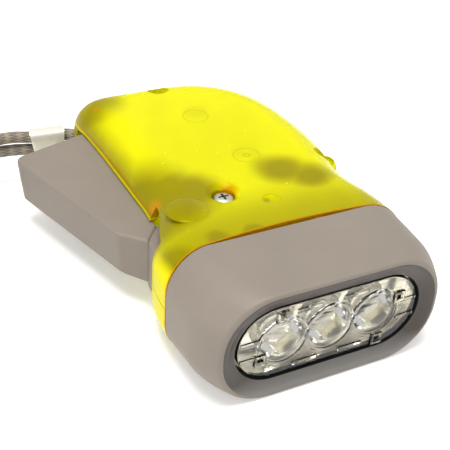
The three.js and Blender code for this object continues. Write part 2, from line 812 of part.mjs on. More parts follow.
const upper_shell = cut(
  join(
    case_skin.intersect(upper_zone),
    turned([[0, 0], [pivot_dome_radius, 0], [pivot_dome_radius * 0.8, pivot_dome_rise * 0.7],
      [pivot_dome_radius * 0.4, pivot_dome_rise], [0, pivot_dome_rise]],
    pivot, body_height - touch_gap / 2),
    post_high(pivot, pivot_boss_radius, knuckle_top + touch_gap),
    post_high(gear_axis, axle_boss_radius, drive_boss_high),
    post_high(rotor_axis, axle_boss_radius, rotor_boss_high),
    post_high(front_screw, front_post_radius, mid_z + touch_gap / 2),
    post_high(front_screw, front_cup_radius, front_seat - case_wall),
    post_high(tail_screw, screw_boss_radius, mid_z + touch_gap / 2),
    post_high(core_front, core_width / 2, core_high + touch_gap),
    side_boss,
    ...cell_ribs,
  ),
  ...screws.flatMap(([, at, seat]) => [
    cylinder(screw_head_radius + touch_gap, seat, body_height + overrun, at),
    cylinder(screw_shank_radius + touch_gap, 0, seat + overrun / 2, at, pin_sides),
  ]),
  turned([[0, 0], [screw_head_radius + touch_gap, 0], [front_dish_radius, front_dish_depth],
    [front_dish_radius, overrun], [0, overrun]], front_screw, body_height - front_dish_depth),
  cylinder(dimple_radius, body_height - dimple_depth, body_height + overrun, place(dimple_shares)),
  pin_hole(pivot, pivot_pin_radius),
  pin_hole(gear_axis, axle_radius),
  pin_hole(rotor_axis, axle_radius),
  ...strap_holes,
);
piece('upper_shell', upper_shell, yellow_plastic);

const lower_shell = cut(
  join(
    case_skin.intersect(lower_zone),
    post_low(pivot, pivot_boss_radius, knuckle_bottom - touch_gap),
    post_low(gear_axis, axle_boss_radius, wheel_low - 2 * touch_gap),
    post_low(rotor_axis, axle_boss_radius, rotor_boss_low),
    ...screws.map(([, at, , radius]) => post_low(at, radius, mid_z - touch_gap / 2)),
    post_low(core_rear, core_width / 2, core_low - touch_gap),
    ...board_posts.map((at) => post_low(at, axle_boss_radius - gear_step, charge_board_z - touch_gap)),
    slide_pad(lock_at, lock_travel),
    slide_pad(power_at, power_travel),
  ),
  ...screws.map(([, at]) => cylinder(screw_shank_radius + touch_gap, screw_end - touch_gap,
    body_height, at, pin_sides)),
  ...slide_cuts(lock_at, lock_travel),
  ...slide_cuts(power_at, power_travel),
  ...strap_holes,
  pin_hole(pivot, pivot_pin_radius),
  pin_hole(gear_axis, axle_radius),
  pin_hole(rotor_axis, axle_radius),
);
piece('lower_shell', lower_shell, yellow_plastic);

// Case screws: pan head with a cross slot, driven from the top

for (const [name, at, seat] of screws) {
  const bottom = screw_end;
  const head = seat + touch_gap / 2 - bottom;
  const half = screw_slot / 2;
  const arm = screw_head_radius * 0.6;
  const slot_z = bottom + head + screw_head_height / 2;
  const top_z = slot_z + screw_head_height;
  piece(name, cut(
    turned([[0, 0], [screw_shank_radius, screw_shank_radius], [screw_shank_radius, head],
      [screw_head_radius, head], [screw_head_radius, head + screw_head_height * 0.45],
      [screw_head_radius * 0.7, head + screw_head_height * 0.85],
      [screw_head_radius * 0.35, head + screw_head_height], [0, head + screw_head_height]],
    at, bottom, pin_sides),
    box(at.x - arm, at.x + arm, at.y - half, at.y + half, slot_z, top_z),
    box(at.x - half, at.x + half, at.y - arm, at.y + arm, slot_z, top_z),
  ), steel);
}

// Upright pins

piece('pivot_pin', cylinder(pivot_pin_radius, pin_low, pin_high, pivot, pin_sides), steel);
piece('gear_axle', cylinder(axle_radius, pin_low, pin_high, gear_axis, pin_sides), steel);
piece('rotor_axle', cylinder(axle_radius, pin_low, pin_high, rotor_axis, pin_sides), steel);

// Squeeze lever: a hollow grip open towards the case, a knuckle on the pivot pin, a toothed sector

const from_pivot = (across, along) => turn_about(
  v2(pivot.x + across, pivot.y + along), pivot, splay,
);
const inner_x = lip_x + lever_cover;
const inner_at = (along) => {
  const across = (inner_x - pivot.x + along * Math.sin(splay)) / Math.cos(splay);
  return from_pivot(across, along);
};

function rounded(corners, radii) {
  const points = [];
  corners.forEach((corner, i) => {
    const before = corners[(i + corners.length - 1) % corners.length];
    const after = corners[(i + 1) % corners.length];
    const radius = radii[i];
    if (!radius) return points.push(corner);
    const a = before.clone().sub(corner).setLength(radius).add(corner);
    const b = after.clone().sub(corner).setLength(radius).add(corner);
    const bend = new THREE.QuadraticBezierCurve(a, corner, b);
    return points.push(...bend.getPoints(round_steps));
  });
  return points;
}

// The grip's outer face leans out towards its top by the draft
const grip_outline = (lean) => rounded([
  inner_at(knuckle_radius - gear_step),
  inner_at(lever_reach),
  from_pivot(-lever_offset - lean, lever_reach),
  from_pivot(-lever_offset - lean, lever_start),
  turn_about(v2(pivot.x + knuckle_radius, pivot.y), pivot, 165 * degrees),
], [0, lever_wall / 2, lever_corner, lever_wall / 2, 0]);
const grip_hollow = (lean) => [
  from_pivot(lever_reach, lever_start + lever_wall),
  from_pivot(lever_reach, lever_reach - lever_wall),
  from_pivot(-lever_offset - lean + lever_wall, lever_reach - lever_wall),
  from_pivot(-lever_offset - lean + lever_wall, lever_start + lever_wall),
];
const leaning = (outline, z_low, z_high) => loft(
  [[-lever_draft, z_low], [lever_draft, z_high]].map(([lean, z]) => (
    outline(lean).map((p) => v3(p.x, p.y, z))
  )), (p) => v2(p.x, p.y),
);

const to_gear = gear_axis.clone().sub(pivot);
const gear_angle = to_gear.angle();
const drive_module = (2 * to_gear.length()) / (sector_teeth + drive_teeth);
const sector_pitch = (sector_teeth * drive_module) / 2;
const sector_root = sector_pitch - dedendum_share * drive_module;
const sector_step = full_turn / sector_teeth;
const sector_spare = 1;
const sector_count = Math.ceil((lever_closing * degrees) / sector_step) + 2 * sector_spare + 1;
const sector_first = gear_angle - sector_spare * sector_step;
const sector_last = sector_first + (sector_count - 1) * sector_step;
const sector_outline = [];
for (let i = 0; i < sector_count; i++) {
  sector_outline.push(...tooth_points(sector_teeth, drive_module, pivot, sector_first + i * sector_step));
}
const rim_low = sector_root - sector_rim;
for (let i = 0; i <= 2 * round_steps; i++) {
  const share = i / (2 * round_steps);
  const angle = sector_last + sector_step - share * (sector_last - sector_first + 2 * sector_step);
  sector_outline.push(v2(pivot.x + rim_low * Math.cos(angle), pivot.y + rim_low * Math.sin(angle)));
}
const spoke_first = gear_angle + (lever_closing + 2) * degrees;
const spoke_last = sector_last + 2 * sector_step;
const spoke = ring_sector(pivot, knuckle_radius - lever_wall, rim_low + sector_rim / 2,
  spoke_first, spoke_last);

// Track of the lock's tongue in the lever's floor, seen from the open lever

const closing = lever_closing * degrees;
const tongue_out = lock_at.clone().sub(pivot);
const tongue_half = (stem_size / 2) * (Math.abs(Math.cos(tongue_out.angle()))
  + Math.abs(Math.sin(tongue_out.angle()))) + 2 * touch_gap;
const tongue_r = tongue_out.length();
const track = ring_sector(pivot, tongue_r - tongue_half, tongue_r + tongue_half,
  tongue_out.angle() + closing / 2, tongue_out.angle() + closing + tongue_half / tongue_r);
const catch_half = stem_size / 2 + 2 * touch_gap;
const catch_pocket = [
  v2(lock_at.x - catch_half, lock_at.y), v2(lock_at.x + catch_half, lock_at.y),
  v2(lock_at.x + catch_half, lock_at.y + lock_travel + catch_half),
  v2(lock_at.x - catch_half, lock_at.y + lock_travel + catch_half),
].map((p) => turn_about(p, pivot, closing));

// Return spring: the coil lies in a pocket of the knuckle, its lower leg in a slot of the lever

const spring_room = spring_radius + spring_wire / 2 + spring_pocket_gap;
const spring_low = knuckle_top - spring_turns * spring_pitch - spring_wire;
const spring_start = 90 * degrees + splay;
const spring_points = [];
for (let i = 0; i <= 8 * spring_turns; i++) {
  const angle = spring_start + (full_turn * i) / 8;
  spring_points.push(v3(
    pivot.x + spring_radius * Math.cos(angle), pivot.y + spring_radius * Math.sin(angle),
    spring_low + spring_wire / 2 + (spring_pitch * i) / 8,
  ));
}
const coil_start = spring_points[0];
const coil_end = spring_points[spring_points.length - 1];
const leg_way = v2(Math.cos(spring_start), Math.sin(spring_start));
spring_points.unshift(v3(
  coil_start.x + spring_leg * leg_way.x, coil_start.y + spring_leg * leg_way.y, coil_start.z,
));
const end_leg_top = knuckle_top + touch_gap + spring_wire;
spring_points.push(v3(
  coil_end.x - spring_leg * leg_way.y, coil_end.y + spring_leg * leg_way.x, end_leg_top,
));
const leg_slot = [-1, 1].flatMap((side) => {
  const half = side * (spring_wire / 2 + touch_gap);
  const ends = [0, spring_radius + spring_leg + touch_gap].map((r) => v2(
    pivot.x + r * leg_way.x - half * leg_way.y, pivot.y + r * leg_way.y + half * leg_way.x,
  ));
  return side < 0 ? ends : ends.reverse();
});

piece('squeeze_lever', cut(
  join(
    cut(leaning(grip_outline, lever_low, lever_high), leaning(grip_hollow, cavity_low, cavity_high)),
    cylinder(knuckle_radius, knuckle_bottom, knuckle_top, pivot, 2 * pin_sides),
    prism(sector_outline, sector_low, sector_high),
    prism(spoke, sector_low, sector_high),
  ),
  cylinder(pivot_pin_radius + running_gap, 0, body_height, pivot),
  cylinder(spring_room, spring_low - spring_pocket_gap, body_height, pivot),
  prism(leg_slot, spring_low - spring_pocket_gap, body_height),
  prism(track, lever_low - touch_gap, cavity_low + touch_gap),
  prism(catch_pocket, lever_low - touch_gap, cavity_low + touch_gap),
), grey_plastic);
piece('return_spring', tube(spring_points, spring_wire / 2, 5, 8 * spring_turns + 6), steel);

// Drive pinion with two pawl arms, inside the ratchet ring of the large wheel

const drive_first = gear_angle + Math.PI + Math.PI / drive_teeth;
const pawl_reach = ratchet_radius - ratchet_depth - touch_gap;
const pawls = [];
for (let i = 0; i < pawl_arms; i++) {
  const start = (full_turn * i) / pawl_arms;
  pawls.push(
    prism(ring_sector(gear_axis, pawl_reach - pawl_width, pawl_reach, start, start + Math.PI / 2),
      pawl_low, wheel_high - touch_gap),
    prism(ring_sector(gear_axis, axle_radius + hub_radius / 2, pawl_reach - pawl_width / 2,
      start, start + pawl_width / hub_radius / 2), pawl_low, wheel_high - touch_gap),
  );
}
piece('drive_pinion', cut(
  join(
    prism(gear_outline(drive_teeth, drive_module, gear_axis, drive_first), drive_low, drive_high),
    cylinder(hub_radius, pawl_low, drive_low + touch_gap, gear_axis),
    ...pawls,
  ),
  cylinder(axle_radius + running_gap, 0, body_height, gear_axis),
), white_nylon);

const to_rotor = rotor_axis.clone().sub(gear_axis);
const rotor_angle = to_rotor.angle();
const wheel_module = (2 * to_rotor.length()) / (wheel_teeth + rotor_teeth);
const ratchet = [];
for (let i = 0; i < ratchet_teeth; i++) {
  const angle = (full_turn * i) / ratchet_teeth;
  for (const [r, turn] of [[ratchet_radius, 0], [ratchet_radius - ratchet_depth, 0.9]]) {
    const at = angle + (turn * full_turn) / ratchet_teeth;
    ratchet.push(v2(gear_axis.x + r * Math.cos(at), gear_axis.y + r * Math.sin(at)));
  }
}
piece('large_wheel', cut(
  join(
    cut(
      prism(gear_outline(wheel_teeth, wheel_module, gear_axis, rotor_angle), wheel_low, wheel_high),
      prism(ratchet, web_top, wheel_high + overrun),
    ),
    cylinder(hub_radius, wheel_low - touch_gap, web_top, gear_axis),
  ),
  cylinder(axle_radius + running_gap, 0, body_height, gear_axis),
), white_nylon);

// Rotor: pinion and flywheel on the rotor axle, with the ring magnet on its hub

const rotor_first = rotor_angle + Math.PI + Math.PI / rotor_teeth;
piece('rotor_pinion', cut(
  join(
    prism(gear_outline(rotor_teeth, wheel_module, rotor_axis, rotor_first),
      rotor_gear_low, rotor_gear_high),
    cylinder(magnet_radius, rotor_gear_high - touch_gap, flywheel_high, rotor_axis),
    cylinder(hub_radius - gear_step, flywheel_high - touch_gap, magnet_high + touch_gap, rotor_axis),
  ),
  cylinder(axle_radius + running_gap, 0, body_height, rotor_axis),
), white_nylon);
piece('ring_magnet', cut(
  cylinder(magnet_radius, magnet_low, magnet_high, rotor_axis),
  cylinder(hub_radius, 0, body_height, rotor_axis),
), magnet_grey);

// Generator core, bobbin and winding

const half_pole = pole_angle * degrees;
piece('generator_core', join(
  ...[90, -90].map((middle) => prism(ring_sector(rotor_axis, pole_inner, pole_outer,
    middle * degrees - half_pole, middle * degrees + half_pole), core_low, core_high)),
  ...[-1, 1].map((side) => {
    const ys = [side * leg_inner, side * leg_outer].sort((a, b) => a - b);
    return box(rotor_axis.x, core_x + core_width / 2, rotor_axis.y + ys[0], rotor_axis.y + ys[1],
      core_low, core_high);
  }),
  box(core_x - core_width / 2, core_x + core_width / 2,
    rotor_axis.y - leg_outer, rotor_axis.y + leg_outer, core_low, core_high),
), iron);

const block_y = (half_width, half_height, half_length) => box(
  core_x - half_width, core_x + half_width, rotor_axis.y - half_length, rotor_axis.y + half_length,
  core_z - half_height, core_z + half_height,
);
const bore_half_x = core_width / 2 + touch_gap;
const bore_half_z = core_height / 2 + touch_gap;
const tube_half_x = bore_half_x + bobbin_wall;
const tube_half_z = bore_half_z + bobbin_wall;
const bobbin_half = leg_inner - touch_gap;
const winding_half = bobbin_half - bobbin_wall;
piece('coil_bobbin', cut(
  block_y(coil_width / 2, coil_depth / 2 + touch_gap, bobbin_half),
  cut(block_y(coil_width, coil_depth, winding_half), block_y(tube_half_x, tube_half_z, bobbin_half)),
  block_y(bore_half_x, bore_half_z, body_length),
), black_resin);
piece('coil_winding', cut(
  block_y(coil_width / 2 - touch_gap, coil_depth / 2, winding_half - touch_gap),
  block_y(tube_half_x + touch_gap, tube_half_z + touch_gap, body_length),
), copper);

// Charging board with diodes and a capacitor, the cell above it, the switch body below it

const half_board_x = charge_board_width / 2;
const half_board_y = charge_board_depth / 2;
piece('charge_board', box(board_centre.x - half_board_x, board_centre.x + half_board_x,
  board_centre.y - half_board_y, board_centre.y + half_board_y, charge_board_z, board_top),
board_green);
for (let i = 0; i < diode_count; i++) {
  const x = cell_low_x + (i * cell_length) / (diode_count - 1);
  piece(`diode_${i + 1}`, cylinder_x(diode_radius, x - diode_length / 2, x + diode_length / 2,
    board_centre.y + half_board_y - 2 * diode_radius, board_top + touch_gap + diode_radius,
    cord_sides), black_resin);
}
const capacitor_at = v2(board_centre.x - half_board_x + capacitor_radius,
  board_centre.y - half_board_y + capacitor_radius);
piece('capacitor', cylinder(capacitor_radius, board_top + touch_gap,
  board_top + touch_gap + capacitor_height, capacitor_at, pin_sides), black_resin);
piece('cell_stack', cylinder_x(cell_radius, cell_low_x, cell_high_x, board_centre.y, cell_z), cell_wrap);

const switch_low = pad_height + touch_gap;
const switch_high = switch_low + switch_case_height;
const switch_roof = switch_high - board_thick / 2;
const switch_half = thumb_length / 2;
const half_stem_room = stem_size / 2 + touch_gap;
piece('switch_body', cut(
  box(power_at.x - switch_half, power_at.x + switch_half,
    power_at.y - half_stem_room - board_thick / 2,
    power_at.y + power_travel + half_stem_room + board_thick / 2, switch_low, switch_high),
  box(power_at.x - half_stem_room, power_at.x + half_stem_room, power_at.y - half_stem_room,
    power_at.y + power_travel + half_stem_room, 0, switch_roof),
), black_resin);
piece('power_slide', slide_piece(power_at, switch_roof - touch_gap), dark_plastic);

// Lever lock: the tongue reaches through the case and the lever's floor

const lock_plate_low = pad_height + touch_gap;
const lock_half = stem_size / 2 + lock_plate_rim;
piece('lever_lock', join(
  slide_piece(lock_at, cavity_low + touch_gap),
  box(lock_at.x - lock_half, lock_at.x + lock_half, lock_at.y - lock_half, lock_at.y + lock_half,
    lock_plate_low, lock_plate_low + lock_plate),
), dark_plastic);

// Leads between the generator, the board, the cell and the lamps

const coil_front = rotor_axis.y - bobbin_half;
const lead_x = core_x + coil_width / 2 - 2 * wire_radius;
const coil_top = core_z + coil_depth / 2 + 2 * touch_gap + wire_radius;
const board_rear = board_centre.y + half_board_y;
const lead_z = board_top + touch_gap + wire_radius;
const leads = [
  ...[-1, 1].map((side) => [side < 0 ? 'generator_lead_a' : 'generator_lead_b', black_cover, [
    v3(lead_x + side * wire_radius * 2, coil_front + 2 * bobbin_wall, coil_top),
    v3(lead_x + side * wire_radius * 2, coil_front - coil_width / 2, coil_top),
    v3(lead_x + side * wire_radius * 2, gear_axis.y, coil_top),
    v3(core_x + side * wire_radius * 2, board_rear + coil_width, cell_z),
    v3(core_x + side * wire_radius * 2, board_rear + 2 * wire_radius, mid_z),
    v3(core_x + side * wire_radius * 2, board_rear - wire_radius, lead_z + wire_radius),
  ]]),
  ...[-1, 1].map((side) => [side < 0 ? 'lamp_lead_black' : 'lamp_lead_red',
    side < 0 ? black_cover : red_cover, [
      v3(board_centre.x + side * capacitor_radius, lamp_board_rear + wire_radius, mid_z),
      v3(board_centre.x + side * capacitor_radius, hood_seam_y, mid_z - capacitor_radius),
      v3(board_centre.x + side * capacitor_radius, board_centre.y - half_board_y + capacitor_radius,
        lead_z + wire_radius),
    ]]),
  ...[-1, 1].map((side) => {
    const end_x = board_centre.x + side * (cell_length / 2 + touch_gap + wire_radius);
    const out_x = end_x + side * capacitor_radius;
    return [side < 0 ? 'cell_lead_black' : 'cell_lead_red', side < 0 ? black_cover : red_cover, [
      v3(end_x, board_centre.y, cell_z),
      v3(out_x, board_centre.y + wire_radius, cell_z - capacitor_radius),
      v3(out_x, board_centre.y + 2 * wire_radius, lead_z + capacitor_radius),
      v3(out_x - side * wire_radius, board_centre.y + 4 * wire_radius, lead_z + wire_radius),
    ]];
  }),
];
for (const [name, cover, points] of leads) {
  piece(name, tube(points, wire_radius, 6, 2 * points.length), cover);
}

// Wrist strap: a doubled stub knotted in the case, a crimped clip standing on edge, the wrist loop

const bend_start = strap_at(stub_straight);
const bend_from = (strap_exit_angle - 90) * degrees;
const bend_at = (share) => {
  const angle = bend_from + share * (clip_angle - strap_exit_angle) * degrees;
  return v2(bend_start.x + stub_bend * (Math.cos(angle) - Math.cos(bend_from)),
    bend_start.y + stub_bend * (Math.sin(angle) - Math.sin(bend_from)));
};
const clip_way = v2(Math.cos(clip_angle * degrees), Math.sin(clip_angle * degrees));
const stub_end = bend_at(1);
const clip_at = (along, across) => v2(
  stub_end.x + along * clip_way.x - across * clip_way.y,
  stub_end.y + along * clip_way.y + across * clip_way.x,
);
const knot_profile = [];
for (let i = 0; i <= 2 * round_steps; i++) {
  const angle = (180 * degrees * i) / (2 * round_steps) - 90 * degrees;
  knot_profile.push([Math.abs(knot_radius * Math.cos(angle)), knot_rise * Math.sin(angle)]);
}
knot_profile[0][0] = 0;
knot_profile[2 * round_steps][0] = 0;
const knot_at = strap_at(-stub_inside);
piece('strap_stub', join(
  turned(knot_profile, v2(knot_at.x, knot_at.y), strap_z, pin_sides),
  ...strand_rises.map((rise) => tube([
    strap_at(-stub_inside, rise), strap_at(0, rise),
    ...[0, 0.5, 1].map((share) => v3(bend_at(share).x, bend_at(share).y, strap_z + rise)),
    v3(clip_at(stub_grip, 0).x, clip_at(stub_grip, 0).y, strap_z + rise),
  ], cord_radius, cord_sides, stub_steps)),
), cord_grey);

const clip_block = (first, last, half_width, half_height) => prism([
  clip_at(first, -half_width), clip_at(last, -half_width),
  clip_at(last, half_width), clip_at(first, half_width),
], strap_z - half_height, strap_z + half_height);
piece('strap_clip', cut(
  clip_block(0, clip_length, clip_width / 2, clip_height / 2),
  clip_block(-overrun, clip_length + overrun, clip_width / 2 - clip_wall, clip_height / 2 - clip_wall),
), steel);

// The loop's route from the strap corner, with its height as a share of the clip's: out of the clip,
// down to the table, round and back
const cord_floor = cord_radius + cord_rest;
const loop_route = [
  [-11, 4.2, 1.171], [-13.4, 4.7, 1.18], [-17.5, 5.7, 1.2], [-21.8, 6.4, 1.17], [-28.8, 6.2, 1.0],
  [-35.8, 3.5, 0.66], [-41.6, -2.6, 0.3], [-44.9, -11.6, 0.06], [-46.1, -24, 0], [-46.4, -38, 0],
  [-49.7, -50, 0], [-57.7, -58.8, 0], [-69.2, -62.2, 0], [-80.7, -59.4, 0], [-89.1, -51, 0],
  [-93.7, -39.5, 0], [-95.8, -27, 0], [-95.9, -14.6, 0], [-93.2, -3.9, 0], [-87, 4.3, 0],
  [-78.2, 9, 0], [-68.2, 10.9, 0], [-57.7, 11.2, 0.01], [-50.8, 11.1, 0.06], [-44.3, 10.9, 0.16],
  [-37.3, 10.4, 0.34], [-30, 9.3, 0.56], [-21.8, 7.2, 0.785], [-17.5, 6, 0.83],
  [-13.4, 4.7, 0.835], [-11, 4.2, 0.829],
].map(([x, y, share]) => v3(
  strap_corner.x + x, strap_corner.y + y, cord_floor + share * (strap_z - cord_floor),
));
piece('strap_cord', tube(loop_route, cord_radius, cord_sides, cord_steps), cord_grey);

const whole = new THREE.Group();
whole.add(flashlight);

export default whole;
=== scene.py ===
# Hand-squeezed dynamo flashlight: its looks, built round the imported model. Lengths here are in
# millimetres, seen from the hood's front ring backwards, and to_frame() gives the frame's metres.

from math import acos, asin, atan2, copysign, cos, dist, exp, hypot, pi, radians, sin, tan

import bmesh
import bpy
import numpy as np
from mathutils import Matrix, Vector


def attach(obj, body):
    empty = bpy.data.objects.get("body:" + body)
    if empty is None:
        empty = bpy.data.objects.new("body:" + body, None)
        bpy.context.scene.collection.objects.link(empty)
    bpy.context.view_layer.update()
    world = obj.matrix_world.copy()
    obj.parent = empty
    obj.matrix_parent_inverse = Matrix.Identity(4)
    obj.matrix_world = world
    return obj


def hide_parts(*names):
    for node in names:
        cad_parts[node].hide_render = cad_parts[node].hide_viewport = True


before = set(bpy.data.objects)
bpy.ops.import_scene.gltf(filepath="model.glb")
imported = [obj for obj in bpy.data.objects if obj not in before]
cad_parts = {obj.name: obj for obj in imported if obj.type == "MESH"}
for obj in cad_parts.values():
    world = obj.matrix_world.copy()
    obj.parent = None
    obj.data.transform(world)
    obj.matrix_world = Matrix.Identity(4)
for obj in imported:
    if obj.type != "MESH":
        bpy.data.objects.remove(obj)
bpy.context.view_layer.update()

# Camera and table: the flashlight lies on its flat side on a white table, seen from above its front
# left. The table is white to the camera where no shadow falls on it.

body_length, body_height, half_width = 103.5, 28.5, 30.4
mid_z = body_height / 2
mm = 0.001


def to_frame(point):
    x, y, z = point
    return Vector((x * mm, (y - body_length / 2) * mm, z * mm))


def placed(name, data):
    made = bpy.data.objects.new(name, data)
    bpy.context.scene.collection.objects.link(made)
    return made


camera_data = bpy.data.cameras.new("photo_camera")
camera_data.lens = 80
camera_data.sensor_width = 36
camera_data.clip_start, camera_data.clip_end = 0.01, 20
camera = placed("photo_camera", camera_data)
turn, drop, tilt = (radians(angle) for angle in (-28.418, 34.1586, 3.398))
ahead = Vector((-sin(turn) * cos(drop), cos(turn) * cos(drop), -sin(drop)))
level = Vector((cos(turn), sin(turn), 0))
upward = level.cross(ahead)
right_side = cos(tilt) * level + sin(tilt) * upward
top_side = -sin(tilt) * level + cos(tilt) * upward
camera.matrix_world = Matrix((
    (right_side.x, top_side.x, -ahead.x, 0), (right_side.y, top_side.y, -ahead.y, 0),
    (right_side.z, top_side.z, -ahead.z, 0), (0, 0, 0, 1),
))
camera.location = to_frame((-102.980, -137.311, 155.784))
bpy.context.scene.camera = camera
bpy.context.scene.view_settings.view_transform = "Standard"


def shader_of(owner):
    return owner.node_tree.nodes["Principled BSDF"]


def material(name, **sockets):
    made = bpy.data.materials.new(name)
    made.use_nodes = True
    for socket, value in sockets.items():
        shader_of(made).inputs[socket.replace("_", " ")].default_value = value
    return made


def node(owner, kind, **settings):
    """A shader node. Each setting is a property, or an input by its name or by number, as in input_1.

    An input takes a value, or a pair of another node and its output, which are linked to it.
    """
    made = owner.node_tree.nodes.new(f"ShaderNode{kind}")
    for name, value in settings.items():
        entry = int(name[6:]) if name.startswith("input_") else name.replace("_", " ")
        if isinstance(entry, str) and entry not in made.inputs:
            setattr(made, name, value)
        elif isinstance(value, tuple) and hasattr(value[0], "outputs"):
            owner.node_tree.links.new(value[0].outputs[value[1]], made.inputs[entry])
        else:
            made.inputs[entry].default_value = value
    return made


def maths(owner, operation, *terms):
    return node(owner, "Math", operation=operation, **{f"input_{k}": term for k, term in enumerate(terms)})


def feed(owner, entry, source, output=0):
    """Links a node's output to an input of the surface's shader."""
    owner.node_tree.links.new(source.outputs[output], shader_of(owner).inputs[entry])


floor_data = bpy.data.meshes.new("table_top")
floor_data.from_pydata([(-3, -3, 0), (3, -3, 0), (3, 3, 0), (-3, 3, 0)], [], [(0, 1, 2, 3)])
floor = placed("table_top", floor_data)
table_white = material("table_white", Base_Color=(0.9, 0.89, 0.87, 1), Roughness=0.7,
                       Emission_Color=(1, 1, 1, 1))
ray = node(table_white, "LightPath")
seen = maths(table_white, "MAXIMUM", (ray, "Is Camera Ray"), (ray, "Is Glossy Ray"))
glow = maths(table_white, "MULTIPLY", (seen, 0), 0.3)
feed(table_white, "Emission Strength", glow)
floor_data.materials.append(table_white)

world = bpy.data.worlds.new("studio")
bpy.context.scene.world = world
world.use_nodes = True
sky = world.node_tree.nodes["Background"]
sky.inputs["Color"].default_value = (1, 1, 1, 1)
sky_level = node(world, "MapRange", Value=(node(world, "LightPath"), "Is Camera Ray"), To_Min=0.62,
                 To_Max=1.0)
world.node_tree.links.new(sky_level.outputs["Result"], sky.inputs["Strength"])


def lamp(name, spot, target, size, watts):
    data = bpy.data.lights.new(name, "AREA")
    data.shape, data.size, data.energy = "DISK", size, watts
    made = placed(name, data)
    made.location = spot
    made.rotation_mode = "QUATERNION"
    made.rotation_quaternion = (Vector(target) - Vector(spot)).to_track_quat("-Z", "Y")


lamp("softbox_above", (-0.1, -0.1, 0.8), (0, 0, 0), 0.4, 5.4)
lamp("softbox_right", (0.75, -0.25, 0.45), (0, 0, 0.01), 0.35, 0.6)
lamp("softbox_front", (-0.8, -0.22, 0.35), (0, -0.02, 0.01), 0.3, 1.5)

# Wrist strap: a doubled cord of braided polyester, knotted inside the case's tail corner, a folded
# steel clip that stands on edge over its two strands, and the limp 3.6 mm loop on the table.

cord_radius, cord_floor, strap_z, strand_rise = 1.8, 2.0, mid_z - 0.85, 1.95
strap_corner = (-0.752 * half_width, 0.97 * body_length)
exit_angle, clip_angle, stub_bend = radians(120), radians(170), 5
stub_way = (cos(exit_angle), sin(exit_angle))
clip_way = (cos(clip_angle), sin(clip_angle))


def distances(line):
    """How far along a line each of its points is."""
    return np.concatenate([[0], np.cumsum(np.linalg.norm(np.diff(line, axis=0), axis=1))])


def smooth_line(points, step):
    """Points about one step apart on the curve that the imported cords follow."""
    points = np.array(points, float)
    points = np.vstack([2 * points[0] - points[1], points, 2 * points[-1] - points[-2]])
    dense = []
    for p0, p1, p2, p3 in zip(points, points[1:], points[2:], points[3:]):
        d0, d1, d2 = (max(np.linalg.norm(b - a) ** 0.5, 1e-4) for a, b in ((p0, p1), (p1, p2), (p2, p3)))
        out = (p1 - p0) / d0 - (p2 - p0) / (d0 + d1) + (p2 - p1) / d1
        into = (p2 - p1) / d1 - (p3 - p1) / (d1 + d2) + (p3 - p2) / d2
        out, into = out * d1, into * d1
        for k in range(40):
            t = k / 40
            dense.append(p1 + out * t + (3 * (p2 - p1) - 2 * out - into) * t ** 2
                         + (2 * (p1 - p2) + out + into) * t ** 3)
    dense.append(points[-2])
    dense = np.array(dense)
    along = distances(dense)
    count = max(2, round(along[-1] / step))
    places = np.linspace(0, along[-1], count + 1)
    return np.stack([np.interp(places, along, dense[:, k]) for k in range(3)], 1)


def shaded(data, angle):
    """Smooth shading, with sharp edges from this angle."""
    data.shade_smooth()
    data.set_sharp_from_angle(angle=radians(angle))


def skinned(name, loops, body, *materials, closed=True, smooth=35, bands=()):
    """A piece with faces between loops of equally many points, in millimetres.

    A closed run of loops makes a ring-shaped piece; an open one gets a face at both ends. Each
    number in bands is how many of the first runs take the next material.
    """
    runs, count = len(loops), len(loops[0])
    faces = []
    for k in range(runs if closed else runs - 1):
        after = (k + 1) % runs
        for i in range(count):
            j = (i + 1) % count
            faces.append((k * count + i, k * count + j, after * count + j, after * count + i))
    if not closed:
        faces += [tuple(reversed(range(count))), tuple(range((runs - 1) * count, runs * count))]
    data = bpy.data.meshes.new(name)
    data.from_pydata([to_frame(p) for loop in loops for p in loop], [], faces)
    made = placed(name, data)
    for finish in materials:
        data.materials.append(finish)
    for index, run in enumerate(bands):
        for face in data.polygons[:run * count]:
            face.material_index = index + 1
    shape = bmesh.new()
    shape.from_mesh(data)
    bmesh.ops.remove_doubles(shape, verts=shape.verts, dist=1e-7)
    bmesh.ops.recalc_face_normals(shape, faces=shape.faces)
    shape.to_mesh(data)
    shape.free()
    if smooth:
        shaded(data, smooth)
    if body:
        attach(made, body)
    return made


def frames_along(line):
    """A side and an upright direction at each point of a line, without twist."""
    ways = np.gradient(line, axis=0)
    ways /= np.linalg.norm(ways, axis=1)[:, None]
    side = np.cross(ways[0], [0, 0, 1])
    side /= np.linalg.norm(side)
    sides = []
    for way in ways:
        side = side - way * (side @ way)
        side /= np.linalg.norm(side)
        sides.append(side)
    sides = np.array(sides)
    return sides, np.cross(sides, ways)


def braid(name, line, body, radius, finish, strands=12, pitch=7.6, around=48):
    """A braided cord: each crossing strand stands proud where it runs on top."""
    rings, heights = [], []
    for centre, along, side, rise in zip(line, distances(line), *frames_along(line)):
        phase = 2 * pi * along / pitch
        ring = []
        for angle in np.arange(around) * 2 * pi / around:
            a = (angle + phase) * strands / 2
            b = (angle - phase) * strands / 2
            on_top = sin(a) * sin(b)
            ridge = max(abs(cos(a)) ** 1.5 * (0.5 + 0.5 * on_top),
                        abs(cos(b)) ** 1.5 * (0.5 - 0.5 * on_top))
            heights.append(ridge)
            r = radius * (0.82 + 0.18 * ridge)
            ring.append(centre + r * (cos(angle) * side + sin(angle) * rise))
        rings.append(ring)
    made = skinned(name, rings, body, finish, closed=False, smooth=60)
    proud = made.data.attributes.new("proud", "FLOAT", "POINT")
    proud.data.foreach_set("value", heights)
    return made


